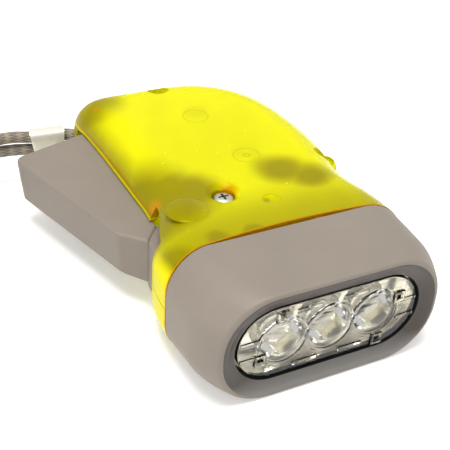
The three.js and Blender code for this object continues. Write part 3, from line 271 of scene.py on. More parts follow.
def pattern(owner, kind, **settings):
    """A texture node that stays with the piece it is on."""
    return node(owner, kind, Vector=(node(owner, "TexCoord"), "Object"), **settings)


def coloured(owner, marks, output, *stops):
    """Colours a surface by its marks: each of two stops is a place on their scale and a colour."""
    ramp = node(owner, "ValToRGB", Fac=(marks, output))
    for stop, (spot, colour) in zip(ramp.color_ramp.elements, stops):
        stop.position, stop.color = spot, (*colour, 1)
    feed(owner, "Base Color", ramp, "Color")
    return ramp


def raised_by(owner, marks, output, strength, depth):
    """Lets the marks stand proud of a surface."""
    bump = node(owner, "Bump", Strength=strength, Distance=depth, Height=(marks, output))
    feed(owner, "Normal", bump)


cord_yarn = material("cord_yarn", Base_Color=(0.165, 0.155, 0.15, 1), Roughness=0.75,
                     Sheen_Weight=0.35, Sheen_Roughness=0.4)
fibre = pattern(cord_yarn, "TexNoise", Scale=900.0, Detail=3.0, Roughness=0.6)
proud_strands = node(cord_yarn, "Attribute", attribute_name="proud")
# Painted shade: the cord's colour is near black where a strand runs underneath and lighter where it stands
# proud, with fibre mottling over it.
crease_shade_and_fibre = maths(cord_yarn, "MULTIPLY_ADD", (fibre, "Fac"), 0.25, (proud_strands, "Fac"))
coloured(cord_yarn, crease_shade_and_fibre, 0, (0.3, (0.035, 0.035, 0.03)), (0.85, (0.5, 0.42, 0.31)))
raised_by(cord_yarn, fibre, "Fac", 0.35, 0.0002)

loop_route = [
    [-11, 4.2, 1.171], [-13.4, 4.7, 1.18], [-17.5, 5.7, 1.2], [-21.8, 6.4, 1.17], [-28.8, 6.2, 1.0],
    [-35.8, 3.5, 0.66], [-41.6, -2.6, 0.3], [-44.9, -11.6, 0.06], [-46.1, -24, 0], [-46.4, -38, 0],
    [-49.7, -50, 0], [-57.7, -58.8, 0], [-69.2, -62.2, 0], [-80.7, -59.4, 0], [-89.1, -51, 0],
    [-93.7, -39.5, 0], [-95.8, -27, 0], [-95.9, -14.6, 0], [-93.2, -3.9, 0], [-87, 4.3, 0],
    [-78.2, 9, 0], [-68.2, 10.9, 0], [-57.7, 11.2, 0.01], [-50.8, 11.1, 0.06], [-44.3, 10.9, 0.16],
    [-37.3, 10.4, 0.34], [-30, 9.3, 0.56], [-21.8, 7.2, 0.785], [-17.5, 6, 0.83],
    [-13.4, 4.7, 0.835], [-11, 4.2, 0.829],
]
loop_line = smooth_line([
    (strap_corner[0] + x, strap_corner[1] + y, cord_floor + share * (strap_z - cord_floor))
    for x, y, share in loop_route
], 0.35)
strap_loop = braid("strap_loop", loop_line, "casing", cord_radius, cord_yarn)
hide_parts("strap_cord")


def along_stub(distance, rise=0):
    return (strap_corner[0] + distance * stub_way[0], strap_corner[1] + distance * stub_way[1],
            strap_z + rise)


def along_bend(share, rise=0):
    """The stub's bend from the case's hole into the clip."""
    start, began = along_stub(0.5), exit_angle - pi / 2
    angle = began + share * (clip_angle - exit_angle)
    return (start[0] + stub_bend * (cos(angle) - cos(began)),
            start[1] + stub_bend * (sin(angle) - sin(began)), strap_z + rise)


clip_start = along_bend(1)
for rise, name in ((-strand_rise, "strap_tail_low"), (strand_rise, "strap_tail_high")):
    strand = [along_stub(-4.1, rise), along_stub(-1, rise), *[along_bend(k / 4, rise) for k in range(5)],
              (clip_start[0] + 2 * clip_way[0], clip_start[1] + 2 * clip_way[1], strap_z + rise)]
    strap_stub = braid(name, smooth_line(strand, 0.3), "casing", cord_radius, cord_yarn)
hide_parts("strap_stub")
knot_turns = []
for k in range(15):
    angle = k * 0.62
    middle = along_stub(-5.3 + 0.17 * k)
    across = 1.2 * cos(angle)
    knot_turns.append((middle[0] - across * stub_way[1], middle[1] + across * stub_way[0],
                       middle[2] + 2.3 * sin(angle)))
strap_knot = braid("strap_knot", smooth_line(knot_turns, 0.4), "casing", 1.25, cord_yarn, strands=8,
                   around=32)


def glossed(owner, marks, low, high):
    """Varies the roughness of a surface by its marks."""
    gloss = node(owner, "MapRange", Value=(marks, "Fac"), To_Min=low, To_Max=high)
    feed(owner, "Roughness", gloss)


clip_steel = material("clip_steel", Base_Color=(0.95, 0.92, 0.8, 1), Metallic=0.5, Roughness=0.3)
glossed(clip_steel, pattern(clip_steel, "TexNoise", Scale=260.0, Detail=4.0), 0.2, 0.42)

clip_length, clip_sheet, clip_half_wide, clip_half_high = 9.8, 0.5, 2.45, 4.4
clip_stations = [(0.0, 0.12), (0.15, 0), (1.2, 0), (3.0, 0.6), (4.9, 1), (6.8, 0.6), (8.6, 0),
                 (9.65, 0), (clip_length, 0.12)]
clip_rings = []
for inner in (0, clip_sheet):
    for distance, pinch in clip_stations:
        ring = []
        for k in range(64):
            angle = 2 * pi * (k + 0.5) / 64
            across = copysign(abs(cos(angle)) ** 0.45, cos(angle)) * (clip_half_wide - inner)
            rise = copysign(abs(sin(angle)) ** 0.6, sin(angle)) * (clip_half_high - inner)
            rise *= 1 - 0.008 * distance
            across *= 1 - 0.1 * pinch * exp(-(rise / 1.6) ** 2)
            low = (clip_half_high - rise) / (2 * clip_half_high)
            share = distance / clip_length
            place = distance + low * (0.7 * (1 - share) - 1.6 * share)
            ring.append((clip_start[0] + place * clip_way[0] - across * clip_way[1],
                         clip_start[1] + place * clip_way[1] + across * clip_way[0], strap_z + rise))
        clip_rings.append(ring)
turned_in = len(clip_stations)
clip_loops = clip_rings[:turned_in] + clip_rings[:turned_in - 1:-1]
strap_clip = skinned("strap_crimp", clip_loops, "casing", clip_steel, smooth=40)
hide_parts("strap_clip")

# Lamp hood: one injection moulding in grey-brown ABS with a fine matt grain. Its front ring slopes in to
# the window, and its open rear slips over the neck of the two case shells. The ring's colour is painted
# shade, darker than the hood, and painted light makes it lighter towards the bottom.

seam_y, seam_bow = 20.8, 2.4
hood_half_width, hood_taper, hood_swell_depth = 1.026 * half_width, 3.2, 10
front_half_width, front_round, edge_round = hood_half_width - hood_taper, 13.2, 10.0
hood_wall, rim_round, ring_width, window_sink, window_lip = 1.9, 0.9, 4.2, 1.4, 1.8
window = (2 * (front_half_width - ring_width), body_height - 2 * ring_width)
ring_points = 14


def rounded_ring(half_across, half_up, corner, inset, y):
    ring = []
    for quarter, (sx, sz) in enumerate(((1, 1), (-1, 1), (-1, -1), (1, -1))):
        for i in range(ring_points + 1):
            angle = (quarter + i / ring_points) * pi / 2
            ring.append((sx * (half_across - corner) + (corner - inset) * cos(angle), y,
                         mid_z + sz * (half_up - corner) + (corner - inset) * sin(angle)))
    return ring


def hood_ring(y, inset):
    share = min(1, max(0, y / (seam_y + seam_bow)))
    across = front_half_width + hood_taper * sin(min(1, max(0, y / hood_swell_depth)) * pi / 2)
    return rounded_ring(across, mid_z, front_round + (edge_round - front_round) * share, inset, y)


def seam_at(x):
    return seam_y + seam_bow * (1 - (x / half_width) ** 2)


def hood_station(share, start, inset):
    """A ring on the way from the front to the bowed seam."""
    ring = []
    for i in range(4 * (ring_points + 1)):
        y = start
        for _ in range(3):
            x = hood_ring(y, inset)[i][0]
            y = start + share * (seam_at(x) - start)
        ring.append(hood_ring(y, inset)[i])
    return ring


def oval_ring(inset, y):
    return rounded_ring(window[0] / 2, window[1] / 2, window[1] / 2, inset, y)


def moulded(name, colour, dark, grain, roughness):
    """Matt injection-moulded plastic: a fine spark-eroded grain and a little wear in its colour."""
    made = material(name, Roughness=roughness, IOR=1.5, Specular_IOR_Level=0.45)
    cloud = pattern(made, "TexNoise", Scale=38.0, Detail=5.0, Roughness=0.6)
    coloured(made, cloud, "Fac", (0.3, dark), (0.72, colour))
    raised_by(made, pattern(made, "TexNoise", Scale=2600.0, Detail=2.0), "Fac", grain, 0.00012)
    return made


hood_grey = moulded("hood_grey", (0.25, 0.212, 0.172), (0.226, 0.19, 0.155), 0.25, 0.5)
# Painted shade: the front ring is a darker copy of the hood's grey, and painted light makes it lighter below
# 6.5 mm height.
ring_painted_shading = moulded("ring_painted_shading", (0.058, 0.045, 0.036), (0.048, 0.037, 0.029), 0.2, 0.35)
plain = shader_of(ring_painted_shading).inputs["Base Color"].links[0].from_node
lit_towards_bottom = node(ring_painted_shading, "MapRange", Value=(pattern(ring_painted_shading, "SeparateXYZ"), "Z"), From_Min=0.0065,
              From_Max=0.002)
ring_painted_light = node(ring_painted_shading, "Mix", data_type="RGBA", input_0=(lit_towards_bottom, "Result"), input_6=(plain, "Color"),
            input_7=(0.19, 0.18, 0.165, 1))
feed(ring_painted_shading, "Base Color", ring_painted_light, 2)
# Painted shade: a near-black surface put on the window's inner wall, on the pane's side faces and in the
# screws' cross recesses, where shade falls.
painted_shade_black = moulded("painted_shade_black", (0.004, 0.004, 0.004), (0.002, 0.002, 0.002), 0.1, 0.7)
hood_loops = [oval_ring(0, window_sink + window_lip), oval_ring(0, window_sink)]
for k in range(1, 6):
    share = k / 5
    dip = window_sink * (1 - sin(share * pi / 2) ** 1.5)
    outer, inner = hood_ring(0, rim_round), oval_ring(0, 0)
    hood_loops.append([(a[0] + (b[0] - a[0]) * share, dip, a[2] + (b[2] - a[2]) * share)
                       for a, b in zip(inner, outer)])
for k in range(1, 7):
    angle = k / 6 * pi / 2
    hood_loops.append(hood_ring(rim_round * (1 - cos(angle)), rim_round * (1 - sin(angle))))
for k in range(1, 25):
    hood_loops.append(hood_station(k / 24, rim_round, 0))
for k in range(12, -1, -3):
    hood_loops.append(hood_station(k / 12, window_sink + window_lip, hood_wall))
# The first six runs of faces, the window's inner wall and the front ring, take the ring's painted shade and
# light; the first run, the window's inner wall, is painted black as shade.
hood = skinned("lamp_hood", hood_loops, "casing", hood_grey, ring_painted_shading, painted_shade_black, bands=(6, 1))
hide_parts("hood")

# Lens plate: clear polycarbonate in one moulding. Its flange sits behind the window's lip, and the pane
# stands through the window with three domes, a tapered collar behind each, and four square posts.


def carve(target, *others, way="DIFFERENCE"):
    """Cuts the others out of the target."""
    group = bpy.data.collections.new("carving")
    for other in others:
        group.objects.link(other)
    change = target.modifiers.new("carving", "BOOLEAN")
    change.operation, change.solver, change.operand_type = way, "EXACT", "COLLECTION"
    change.collection = group
    shape = bpy.data.meshes.new_from_object(target.evaluated_get(bpy.context.evaluated_depsgraph_get()))
    target.modifiers.clear()
    target.data = shape
    for other in others:
        bpy.data.objects.remove(other)
    bpy.data.collections.remove(group)
    return target


def fuse(target, *others):
    """Joins the others to the target."""
    carve(target, *others, way="UNION")


def finished(made, name, body, finish, stands_for, smooth=30):
    """Gives a carved piece its name, body, finish and even highlights."""
    made.name = name
    made.data.name = name
    made.data.materials.clear()
    made.data.materials.append(finish)
    shaded(made.data, smooth)
    even = made.modifiers.new("even_highlights", "WEIGHTED_NORMAL")
    even.keep_sharp, even.weight = True, 60
    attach(made, body)
    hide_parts(stands_for)


def stack(*rings):
    """A closed solid through rings of equally many points."""
    return skinned("stack", rings, None, closed=False, smooth=None)


def slab(outline, low, high):
    return stack([(x, y, low) for x, y in outline], [(x, y, high) for x, y in outline])


def block(x_low, x_high, y_low, y_high, z_low, z_high):
    return slab([(x_low, y_low), (x_high, y_low), (x_high, y_high), (x_low, y_high)], z_low, z_high)


def circle(at, radius, sides=64):
    angles = [2 * pi * k / sides for k in range(sides)]
    return [(at[0] + radius * cos(a), at[1] + radius * sin(a)) for a in angles]


def upright(at, *profile, sides=64):
    """A turned solid on an upright axis: its profile gives radius and height."""
    return stack(*[[(x, y, z) for x, y in circle(at, max(radius, 0.001), sides)] for radius, z in profile])


def forward(x, *profile, sides=64):
    """A turned solid on an axis along the light's direction: its profile gives radius and depth."""
    return stack(*[[(px, y, pz) for px, pz in circle((x, mid_z), max(radius, 0.001), sides)]
                   for radius, y in profile])


lens_pitch, lens_radius, lens_bulge = 11.8, 5.6, 1.3
collar_inner, collar_outer, bar_thick, post_half, post_hollow = 5.9, 7.4, 0.9, 1.4, 0.8
plate_rim, plate_front, plate_thick, pane_gap, pane_front = 1, 3.5, 1.6, 0.75, window_sink + 0.2
plate_rear = plate_front + plate_thick
lens_sphere = (lens_radius ** 2 + lens_bulge ** 2) / (2 * lens_bulge)
lens_places = [-lens_pitch, 0, lens_pitch]
lens_plate = stack(oval_ring(-plate_rim + 0.2, plate_front), oval_ring(-plate_rim, plate_front + 0.2),
                   oval_ring(-plate_rim, plate_rear))
plate_parts = [stack(oval_ring(pane_gap + 0.35, pane_front), oval_ring(pane_gap + 0.1, pane_front + 0.1),
                     oval_ring(pane_gap, pane_front + 0.35), oval_ring(pane_gap, plate_rear - 0.2))]
for x in lens_places:
    dome = [(lens_sphere * sin(a), pane_front - lens_bulge + lens_sphere * (1 - cos(a)))
            for a in np.linspace(0, asin(lens_radius / lens_sphere), 17)]
    plate_parts.append(forward(x, *dome, (lens_radius, plate_rear - 0.1), sides=96))
for side in (-1, 1):
    for x in (-lens_pitch / 2, lens_pitch / 2):
        low = mid_z + side * 7.4 - bar_thick / 2
        plate_parts.append(block(x - 3.1, x + 3.1, pane_front - 0.5, plate_rear - 0.2, low, low + bar_thick))
    for rise in (-3.2, 1.4):
        x = side * 20
        plate_parts.append(block(x - 2.4, x + 2.4, pane_front - 0.4, plate_rear - 0.2, mid_z + rise,
                                 mid_z + rise + 0.8))
post_shares = [(-0.37, -0.17), (0.37, 0.17), (-0.27, 0.36), (0.27, -0.36)]
post_places = [(x * window[0], mid_z + z * window[1]) for x, z in post_shares]
for x, z in post_places:
    plate_parts.append(block(x - post_half, x + post_half, pane_front - 0.9, plate_rear - 0.2,
                             z - post_half, z + post_half))
fuse(lens_plate, *plate_parts)
fuse(lens_plate, *[forward(x, (lens_radius - 0.3, plate_rear - 0.8), (3.4, 8.1), sides=96)
                   for x in lens_places])
for x in lens_places:
    rim = forward(x, (6.3, pane_front - 0.25), (collar_outer, pane_front + 0.5),
                  (collar_outer, plate_rear - 0.2), sides=96)
    carve(rim, forward(x, (collar_inner, pane_front - 1), (collar_inner - 0.2, pane_front + 0.6), sides=96))
    fuse(lens_plate, rim)
carve(lens_plate, *[block(x - post_hollow, x + post_hollow, pane_front - 2, pane_front + 1.6,
                          z - post_hollow, z + post_hollow) for x, z in post_places])
clear_plastic = material("clear_plastic", Transmission_Weight=1.0, IOR=1.49, Roughness=0.04)
slant = pattern(clear_plastic, "Mapping", Scale=(0.25, 1, 1.6), Rotation=(0, 0.75, 0))
flow = node(clear_plastic, "TexNoise", Vector=(slant, "Vector"), Scale=300.0, Detail=3.0)
coloured(clear_plastic, flow, "Fac", (0.4, (0.8, 0.76, 0.68)), (0.56, (1, 1, 0.97)))
raised_by(clear_plastic, flow, "Fac", 0.25, 0.0002)
finished(lens_plate, "lens_window", "casing", clear_plastic, "lens_plate")
# The pane's side faces inside the window are painted black, as painted shade in the gap round the pane.
lens_plate.data.materials.append(painted_shade_black)
for face in lens_plate.data.polygons:
    x, y, z = face.center / mm
    y += body_length / 2
    reach = max(0, abs(x) - (window[0] - window[1]) / 2)
    on_side = hypot(reach, z - mid_z) > window[1] / 2 - pane_gap - 0.15
    if on_side and abs(face.normal.y) < 0.5 and y < plate_front + 0.1:
        face.material_index = 1

# Reflector tray: a thin plastic moulding with a bright metal film on it, behind the lens plate. It has a
# shallow pocket and a cup for each lamp.

tray_front, tray_depth, pocket_depth, tray_wall = plate_rear + 0.3, 8.6, 3.2, 1.2
tray_rear, pocket_floor = tray_front + tray_depth, tray_front + pocket_depth
reflector = stack(oval_ring(-plate_rim, tray_front), oval_ring(-plate_rim, tray_rear))
carve(reflector, stack(oval_ring(tray_wall - plate_rim, tray_front - 5),
                       oval_ring(tray_wall - plate_rim, pocket_floor - 0.5),
                       oval_ring(tray_wall - plate_rim + 0.5, pocket_floor)))
for x in lens_places:
    carve(reflector, forward(x, (5.6, pocket_floor - 1), (5.6, pocket_floor), (5.1, pocket_floor + 1.6),
                             (4.3, pocket_floor + 3.0), (2.8, tray_rear - tray_wall), (2.8, tray_rear + 5)))
chrome_film = material("chrome_film", Base_Color=(0.97, 0.95, 0.87, 1), Metallic=1.0, Roughness=0.14)
haze = pattern(chrome_film, "TexNoise", Scale=160.0, Detail=4.0)
glossed(chrome_film, haze, 0.08, 0.3)
raised_by(chrome_film, haze, "Fac", 0.2, 0.0002)
finished(reflector, "reflector_cups", "casing", chrome_film, "reflector_tray")

# Lamps: three 5 mm lamps of clear epoxy, each cast with a flange at its base. They stand in the cups of
# the reflector tray and are soldered to the lamp board behind it.

lamp_resin = material("lamp_resin", Base_Color=(0.95, 0.95, 0.9, 1), Transmission_Weight=0.75, IOR=1.52,
                      Roughness=0.06)
coloured(lamp_resin, pattern(lamp_resin, "TexNoise", Scale=500.0, Detail=2.0), "Fac",
         (0, (0.9, 0.88, 0.74)), (1, (0.97, 0.97, 0.93)))
lamp_base = tray_rear + 0.3 + 1
lamp_radius, flange_radius, lamp_length = 2.5, 2.95, 6.2
for x, side in zip(lens_places, ("left", "middle", "right")):
    dome = [(lamp_radius * sin(a), lamp_base - lamp_length + lamp_radius * (1 - cos(a)))
            for a in np.linspace(0, pi / 2, 13)]
    bulb = forward(x, *dome, (lamp_radius, lamp_base - 1), (flange_radius, lamp_base - 1),
                   (flange_radius, lamp_base), sides=48)
    finished(bulb, f"bulb_{side}", "casing", lamp_resin, f"lamp_{side}")

# Case shells: two halves moulded in translucent yellow polystyrene, parted at mid height. Each has a
# neck for the hood, the opening beside the lever, bearing bosses and screw posts inside.

case_wall = 1.7
plan_shares = [
    (1.026, 0.1), (1.026, 0.21), (1.003, 0.285), (0.948, 0.36), (0.934, 0.406), (0.96, 0.464),
    (0.997, 0.531), (1.01, 0.6), (1.0, 0.676), (0.967, 0.754), (0.901, 0.826), (0.796, 0.884),
    (0.641, 0.935), (0.444, 0.972), (0.214, 0.993), (0.0, 1.0), (-0.23, 0.999), (-0.46, 0.995),
    (-0.64, 0.99), (-0.755, 0.979), (-0.818, 0.956), (-0.833, 0.92), (-0.818, 0.875), (-0.805, 0.77),
    (-0.803, 0.66), (-0.803, 0.55), (-0.808, 0.46), (-0.84, 0.41), (-0.925, 0.352), (-0.988, 0.298),
    (-1.018, 0.25), (-1.026, 0.2), (-1.026, 0.1),
]
plan_line = smooth_line([(x * half_width, y * body_length, 0) for x, y in plan_shares], 1.0)
spine = (0.1 * body_length, 0.75 * body_length)
pivot = (-0.625 * half_width, 0.3527 * body_length)
gear_axis = (0.237 * half_width, 0.5507 * body_length)
rotor_axis = (0.1316 * half_width, 0.7826 * body_length)


def drawn_in(point, inset):
    """A point of the plan, moved towards the case's spine."""
    nearest = np.array([0, min(spine[1], max(spine[0], point[1]))])
    inward = nearest - point[:2]
    return point[:2] + inward * inset / np.linalg.norm(inward)


def case_volume(inset, steps=14):
    rounding = edge_round - inset
    rings = []
    for side in (-1, 1):
        for i in range(steps + 1):
            angle = (i if side < 0 else steps - i) / steps * pi / 2
            z = mid_z + side * (mid_z - inset - rounding * (1 - cos(angle)))
            drawn = inset + rounding * (1 - sin(angle))
            rings.append([(*drawn_in(p, drawn), z) for p in plan_line])
    return stack(*rings)


def ahead_of_seam(offset):
    xs = np.linspace(-36, 36, 61)
    return slab([(36, -10), *[(x, seam_at(x) + offset) for x in xs[::-1]], (-36, -10)], -5, body_height + 5)


def hood_volume(inset, start, end):
    return stack(*[hood_ring(start + (end - start) * k / 8, inset) for k in range(9)])


neck_inset, neck_wall, neck_reach, neck_root = hood_wall + 0.3, 1.7, 6.3, 3
rear_y = seam_y + seam_bow + 5
opening_front, opening_rear, opening_low, opening_high = pivot[1] - 4.5, 95.0, 7.7, 20.8
lever_low, lever_high, knuckle_radius = mid_z - 6.25, mid_z + 6.25, 9
knuckle_room, knuckle_window = 9.3, 24.6
far_out = 60


def peg(at, radius, low, high):
    """A plain upright cylinder."""
    return upright(at, (radius, low), (radius, high))


def case_half(other_low, other_high):
    """The skin of one case half, without the other half's levels, with its neck and the opening."""
    skin = carve(case_volume(0), ahead_of_seam(0.3))
    neck = carve(hood_volume(neck_inset, seam_y - neck_reach, rear_y),
                 carve(block(-far_out, far_out, 10, far_out, -20, 50), ahead_of_seam(neck_root)))
    fuse(skin, neck)
    hollow = carve(case_volume(case_wall), ahead_of_seam(neck_root))
    carve(skin, hollow)
    carve(skin, hood_volume(neck_inset + neck_wall, seam_y - neck_reach - 5, rear_y))
    carve(skin, block(-far_out, -21, opening_front, opening_rear, opening_low, opening_high))
    carve(skin, block(-far_out, pivot[0] + 1.5, opening_front, pivot[1] + knuckle_room, opening_low,
                      knuckle_window))
    carve(skin, peg(pivot, knuckle_room, lever_low - 1.5, lever_high - 0.1))
    carve(skin, block(-far_out, far_out, -20, 130, other_low, other_high))
    return skin


screw_head, head_height, shank, screw_hole = 2.6, 1.6, 1.1, 1.4
pivot_boss, axle_boss = 3.3, 3.2
# Each bore for a pin has the pin's axis, a radius and a closed end under the roof.
bores = ((pivot, 1.6, 26.8), (gear_axis, 1.1, 27.1), (rotor_axis, 1.1, 27.1))
screws = {
    "front": (-0.2566 * half_width, 0.3884 * body_length, body_height - 2.85),
    "side": (0.875 * half_width, 0.486 * body_length, body_height - 7.7),
    "tail": (-0.0263 * half_width, 0.9285 * body_length, body_height - 5),
}
roof = body_height - 0.85
parting = 0.15

upper = case_half(-20, mid_z + parting)
dish, dish_rim = 5.2, body_height - 0.15
dome = [(dish, dish_rim)] + [(dish * cos(a), dish_rim + 0.9 * sin(a))
                             for a in np.linspace(0.08, 1.57, 9)]
side_x, side_y, side_seat = screws["side"]
cell_y, cell_z, cell_radius = seam_y + 7.35, body_height - 9.3, 5.8
cell_x = 0.44 * half_width
post_foot = mid_z + parting
fuse(upper, upright(pivot, *dome), peg(pivot, pivot_boss, 20.4, 27.0),
     peg(gear_axis, axle_boss, 17.2, roof), peg(rotor_axis, axle_boss, 20.3, roof),
     upright(screws["front"], (2.3, post_foot), (2.3, 23.95), (3.5, 23.95), (3.8, 24.3), (3.8, roof)),
     peg(screws["tail"], 3.1, post_foot, 25.5),
     upright((side_x, side_y), (3.5, post_foot), (3.7, mid_z + 0.4), (3.7, side_seat + 1.2),
             (3.55, side_seat + 2.0), (3.0, side_seat + 3.1), (2.9, side_seat + 3.2)),
     *[block(x - 0.8, x + 0.8, cell_y - 5.6, cell_y + 5.6, cell_z + 1, roof)
       for x in (cell_x - 4.9, cell_x + 4.9)])
recesses = {"front": [(2.9, 27.45), (3.05, 27.65), (4.0, 28.25), (4.4, 28.6), (4.4, 40)],
            "side": [(2.9, 27.6), (2.9, 40)], "tail": [(2.9, 27.6), (3.15, 28.3), (3.4, 40)]}
for side, (x, y, seat) in screws.items():
    carve(upper, upright((x, y), (2.9, seat), *recesses[side]), peg((x, y), screw_hole, 5, seat + 1))
along_cell = circle((cell_y, cell_z), cell_radius + 0.3)
carve(upper, stack(*[[(x, y, z) for y, z in along_cell] for x in (cell_x - 9, cell_x + 9)]))
dimple_at, dimple_radius = (0.046 * half_width, 0.322 * body_length), 2.25
carve(upper, upright(dimple_at, *[(dimple_radius * sin(a), body_height - 0.7 * cos(a))
                                  for a in np.linspace(0.1, 1.57, 9)], (dimple_radius, 40)))
for at, radius, end in bores:
    carve(upper, peg(at, radius, 5, end))


def strap_hole(rise):
    radius, rings = 2.15, []
    for distance in (-4.1, 5):
        x, y, z = along_stub(distance, rise)
        rings.append([(x - radius * cos(a) * stub_way[1], y + radius * cos(a) * stub_way[0],
                       z + radius * sin(a)) for a in np.linspace(0, 2 * pi, 33)[:-1]])
    return stack(*rings)


for rise in (-strand_rise, strand_rise):
    carve(upper, strap_hole(rise))

yellow_plastic = material("yellow_plastic", Base_Color=(1.0, 0.93, 0.0, 1), Transmission_Weight=0.5,
                          IOR=1.4, Roughness=0.25, Specular_IOR_Level=0.05,
                          Specular_Tint=(1.0, 0.95, 0.1, 1))
place = (node(yellow_plastic, "TexCoord"), "Object")
swirl = pattern(yellow_plastic, "TexNoise", Scale=90.0, Detail=3.0)
shift = node(yellow_plastic, "VectorMath", operation="SCALE", input_0=(swirl, "Color"), Scale=0.003)
moved = node(yellow_plastic, "VectorMath", operation="ADD", input_0=place, input_1=(shift, "Vector"))


def distance_to(target, start):
    """How far a place on the case is from the target."""
    away = node(yellow_plastic, "VectorMath", operation="DISTANCE", input_0=start, input_1=to_frame(target))
    return away, "Value"


def near_to(target, reach, start, before):
    """A factor that is 1 near the target and 0 at its reach, or the one before it where that is larger."""
    fade = node(yellow_plastic, "MapRange", interpolation_type="SMOOTHSTEP",
                Value=distance_to(target, start), From_Min=reach * mm, From_Max=0.3 * reach * mm)
    return maths(yellow_plastic, "SMOOTH_MAX", (before, 0), (fade, 0), 0.1)


parts = pattern(yellow_plastic, "SeparateXYZ")
bow = maths(yellow_plastic, "MULTIPLY", (parts, "X"), (parts, "X"))
behind = maths(yellow_plastic, "MULTIPLY_ADD", (bow, 0), seam_bow / half_width ** 2 / mm, (parts, "Y"))
seam_frame = seam_y + seam_bow - body_length / 2
# Painted shade: the case is painted darker towards the hood seam.
front_painted_shade = node(yellow_plastic, "MapRange", interpolation_type="SMOOTHSTEP", Value=(behind, 0),
                  From_Min=(seam_frame + 22) * mm, From_Max=(seam_frame + 2) * mm, To_Max=0.7)
seam_line = node(yellow_plastic, "MapRange", Value=(behind, 0), From_Min=(seam_frame + 0.95) * mm,
                 From_Max=(seam_frame + 0.55) * mm)
dark, amber_and_shade = front_painted_shade, seam_line
# Painted shade: places where the case is painted darker, as the shade of the inner pieces under it and of
# the rounded edge above the lever's opening. Each is a point and how far its painted shade reaches.
for target, reach in (((-21, 42, 25), 20), ((-13, 45, 27), 12), ((12, 46, 27), 11), ((17, 41, 27), 10),
                      ((-19, 97, 24), 14), ((-23, 52, 22), 19), ((-17, 50, 26), 11), ((-25, 24, 24), 12),
                      ((-28, 21.5, 22), 7), ((-16, 25, 28), 8), ((-7, 25, 28.5), 6),
                      ((1.5, 35.5, 28.3), 2.6), *(((-27, y, 19), 15) for y in range(56, 92, 4))):
    dark = near_to(target, reach, (moved, "Vector"), dark)
# Painted shade in rings where the two axle bosses and a bore show through the roof: a middle and a radius
# each.
for target, radius in (((5.4, 53.8, 28.5), 3.4), ((2.2, 77.4, 28.5), 3.4), ((5.4, 53.8, 28.5), 0.8)):
    on_ring = maths(yellow_plastic, "COMPARE", distance_to(target, place), radius * mm, 0.17 * mm)
    softened = maths(yellow_plastic, "MULTIPLY", (on_ring, 0), 0.42)
    dark = maths(yellow_plastic, "MAXIMUM", (dark, 0), (softened, 0))
# Amber places: a line along the hood seam, painted shade on the far wall of the front screw's recess, a spot
# above the lever's opening and a small spot near the tail.
for target, reach in (((-5.5, 42, 26), 4), ((-22.3, 46.3, 23), 4), ((-21, 92.3, 28), 1.5)):
    amber_and_shade = near_to(target, reach, place, amber_and_shade)
# The flank beside the lever lets less light through, and its colour is painted lighter than the painted
# shade around it, as painted light.
# Two fine lines run above the opening: a painted highlight along its edge, and an orange-brown line above
# that.
deepened = node(yellow_plastic, "MapRange", Value=(dark, 0), From_Min=0.09, From_Max=0.95)
flank = node(yellow_plastic, "MapRange", interpolation_type="SMOOTHSTEP", Value=(parts, "X"),
             From_Min=-0.0285, From_Max=-0.0305)
opened = maths(yellow_plastic, "COMPARE", (parts, "X"), -0.0218, 0.0055)
lines = []
for height, thickness in ((0.0222, 0.0004), (0.0214, 0.0003)):
    line = maths(yellow_plastic, "COMPARE", (parts, "Z"), height, thickness)
    lines.append(maths(yellow_plastic, "MULTIPLY", (line, 0), (opened, 0)))
# The base yellow is the case's own colour; the olive tone mixed in by the factor from dark is painted shade.
shade = (1.0, 0.98, 0.0, 1)
for factor, tone in ((deepened, (0.44, 0.39, 0.0, 1)), (flank, (0.8, 0.74, 0.0, 1)),
                     (amber_and_shade, (0.78, 0.36, 0.0, 1)), (lines[0], (0.55, 0.36, 0.0, 1)),
                     (lines[1], (1.0, 0.9, 0.0, 1))):
    mixed = node(yellow_plastic, "Mix", data_type="RGBA", input_0=(factor, 0), input_6=shade, input_7=tone)
    shade = (mixed, 2)
filled = node(yellow_plastic, "MapRange", Value=(flank, 0), To_Min=0.5, To_Max=0.05)
feed(yellow_plastic, "Transmission Weight", filled)
feed(yellow_plastic, "Base Color", *shade)
scuff = pattern(yellow_plastic, "TexNoise", Scale=420.0, Detail=5.0)
glossed(yellow_plastic, scuff, 0.2, 0.3)
raised_by(yellow_plastic, scuff, "Fac", 0.04, 0.0002)
finished(upper, "case_upper", "casing", yellow_plastic, "upper_shell")

lower = case_half(mid_z - parting, far_out)
lock_at, power_at = (-0.296 * half_width, 0.8068 * body_length), (cell_x, cell_y + 0.8)
core_rear = (rotor_axis[0] + 13.7, rotor_axis[1] + 9.2)
ground, post_top = 0.85, mid_z - parting
fuse(lower, peg(pivot, pivot_boss, 1.0, 6.5),
     *[peg(at, axle_boss, ground, 9.3) for at in (gear_axis, rotor_axis)],
     *[peg(screws[side], radius, foot, post_top)
       for side, radius, foot in (("front", 2.3, ground), ("side", 2.6, 3.0), ("tail", 2.6, ground))],
     peg(core_rear, 1.3, 2.0, 13.7),
     *[peg((cell_x + side * 8.05, cell_y + 3.3), 2.7, ground, 6.1) for side in (-1, 1)],
     *[block(x - 6.7, x + 6.7, y - 5.2, y + 8.2, 0.5, 3.2) for x, y in (lock_at, power_at)])
carve(lower, *[block(x - 5.1, x + 5.1, y - 3.6, y + 6.6, -5, 1.3) for x, y in (lock_at, power_at)])
carve(lower, *[block(x - 1.6, x + 1.6, y - 1.6, y + 4.6, -5, 6) for x, y in (lock_at, power_at)],
      *[peg(at, screw_hole, 5.2, 20) for at in screws.values()],
      *[peg(at, radius, 1.4, 12) for at, radius, _ in bores])
for rise in (-strand_rise, strand_rise):
    carve(lower, strap_hole(rise))
finished(lower, "case_lower", "casing", yellow_plastic, "lower_shell")

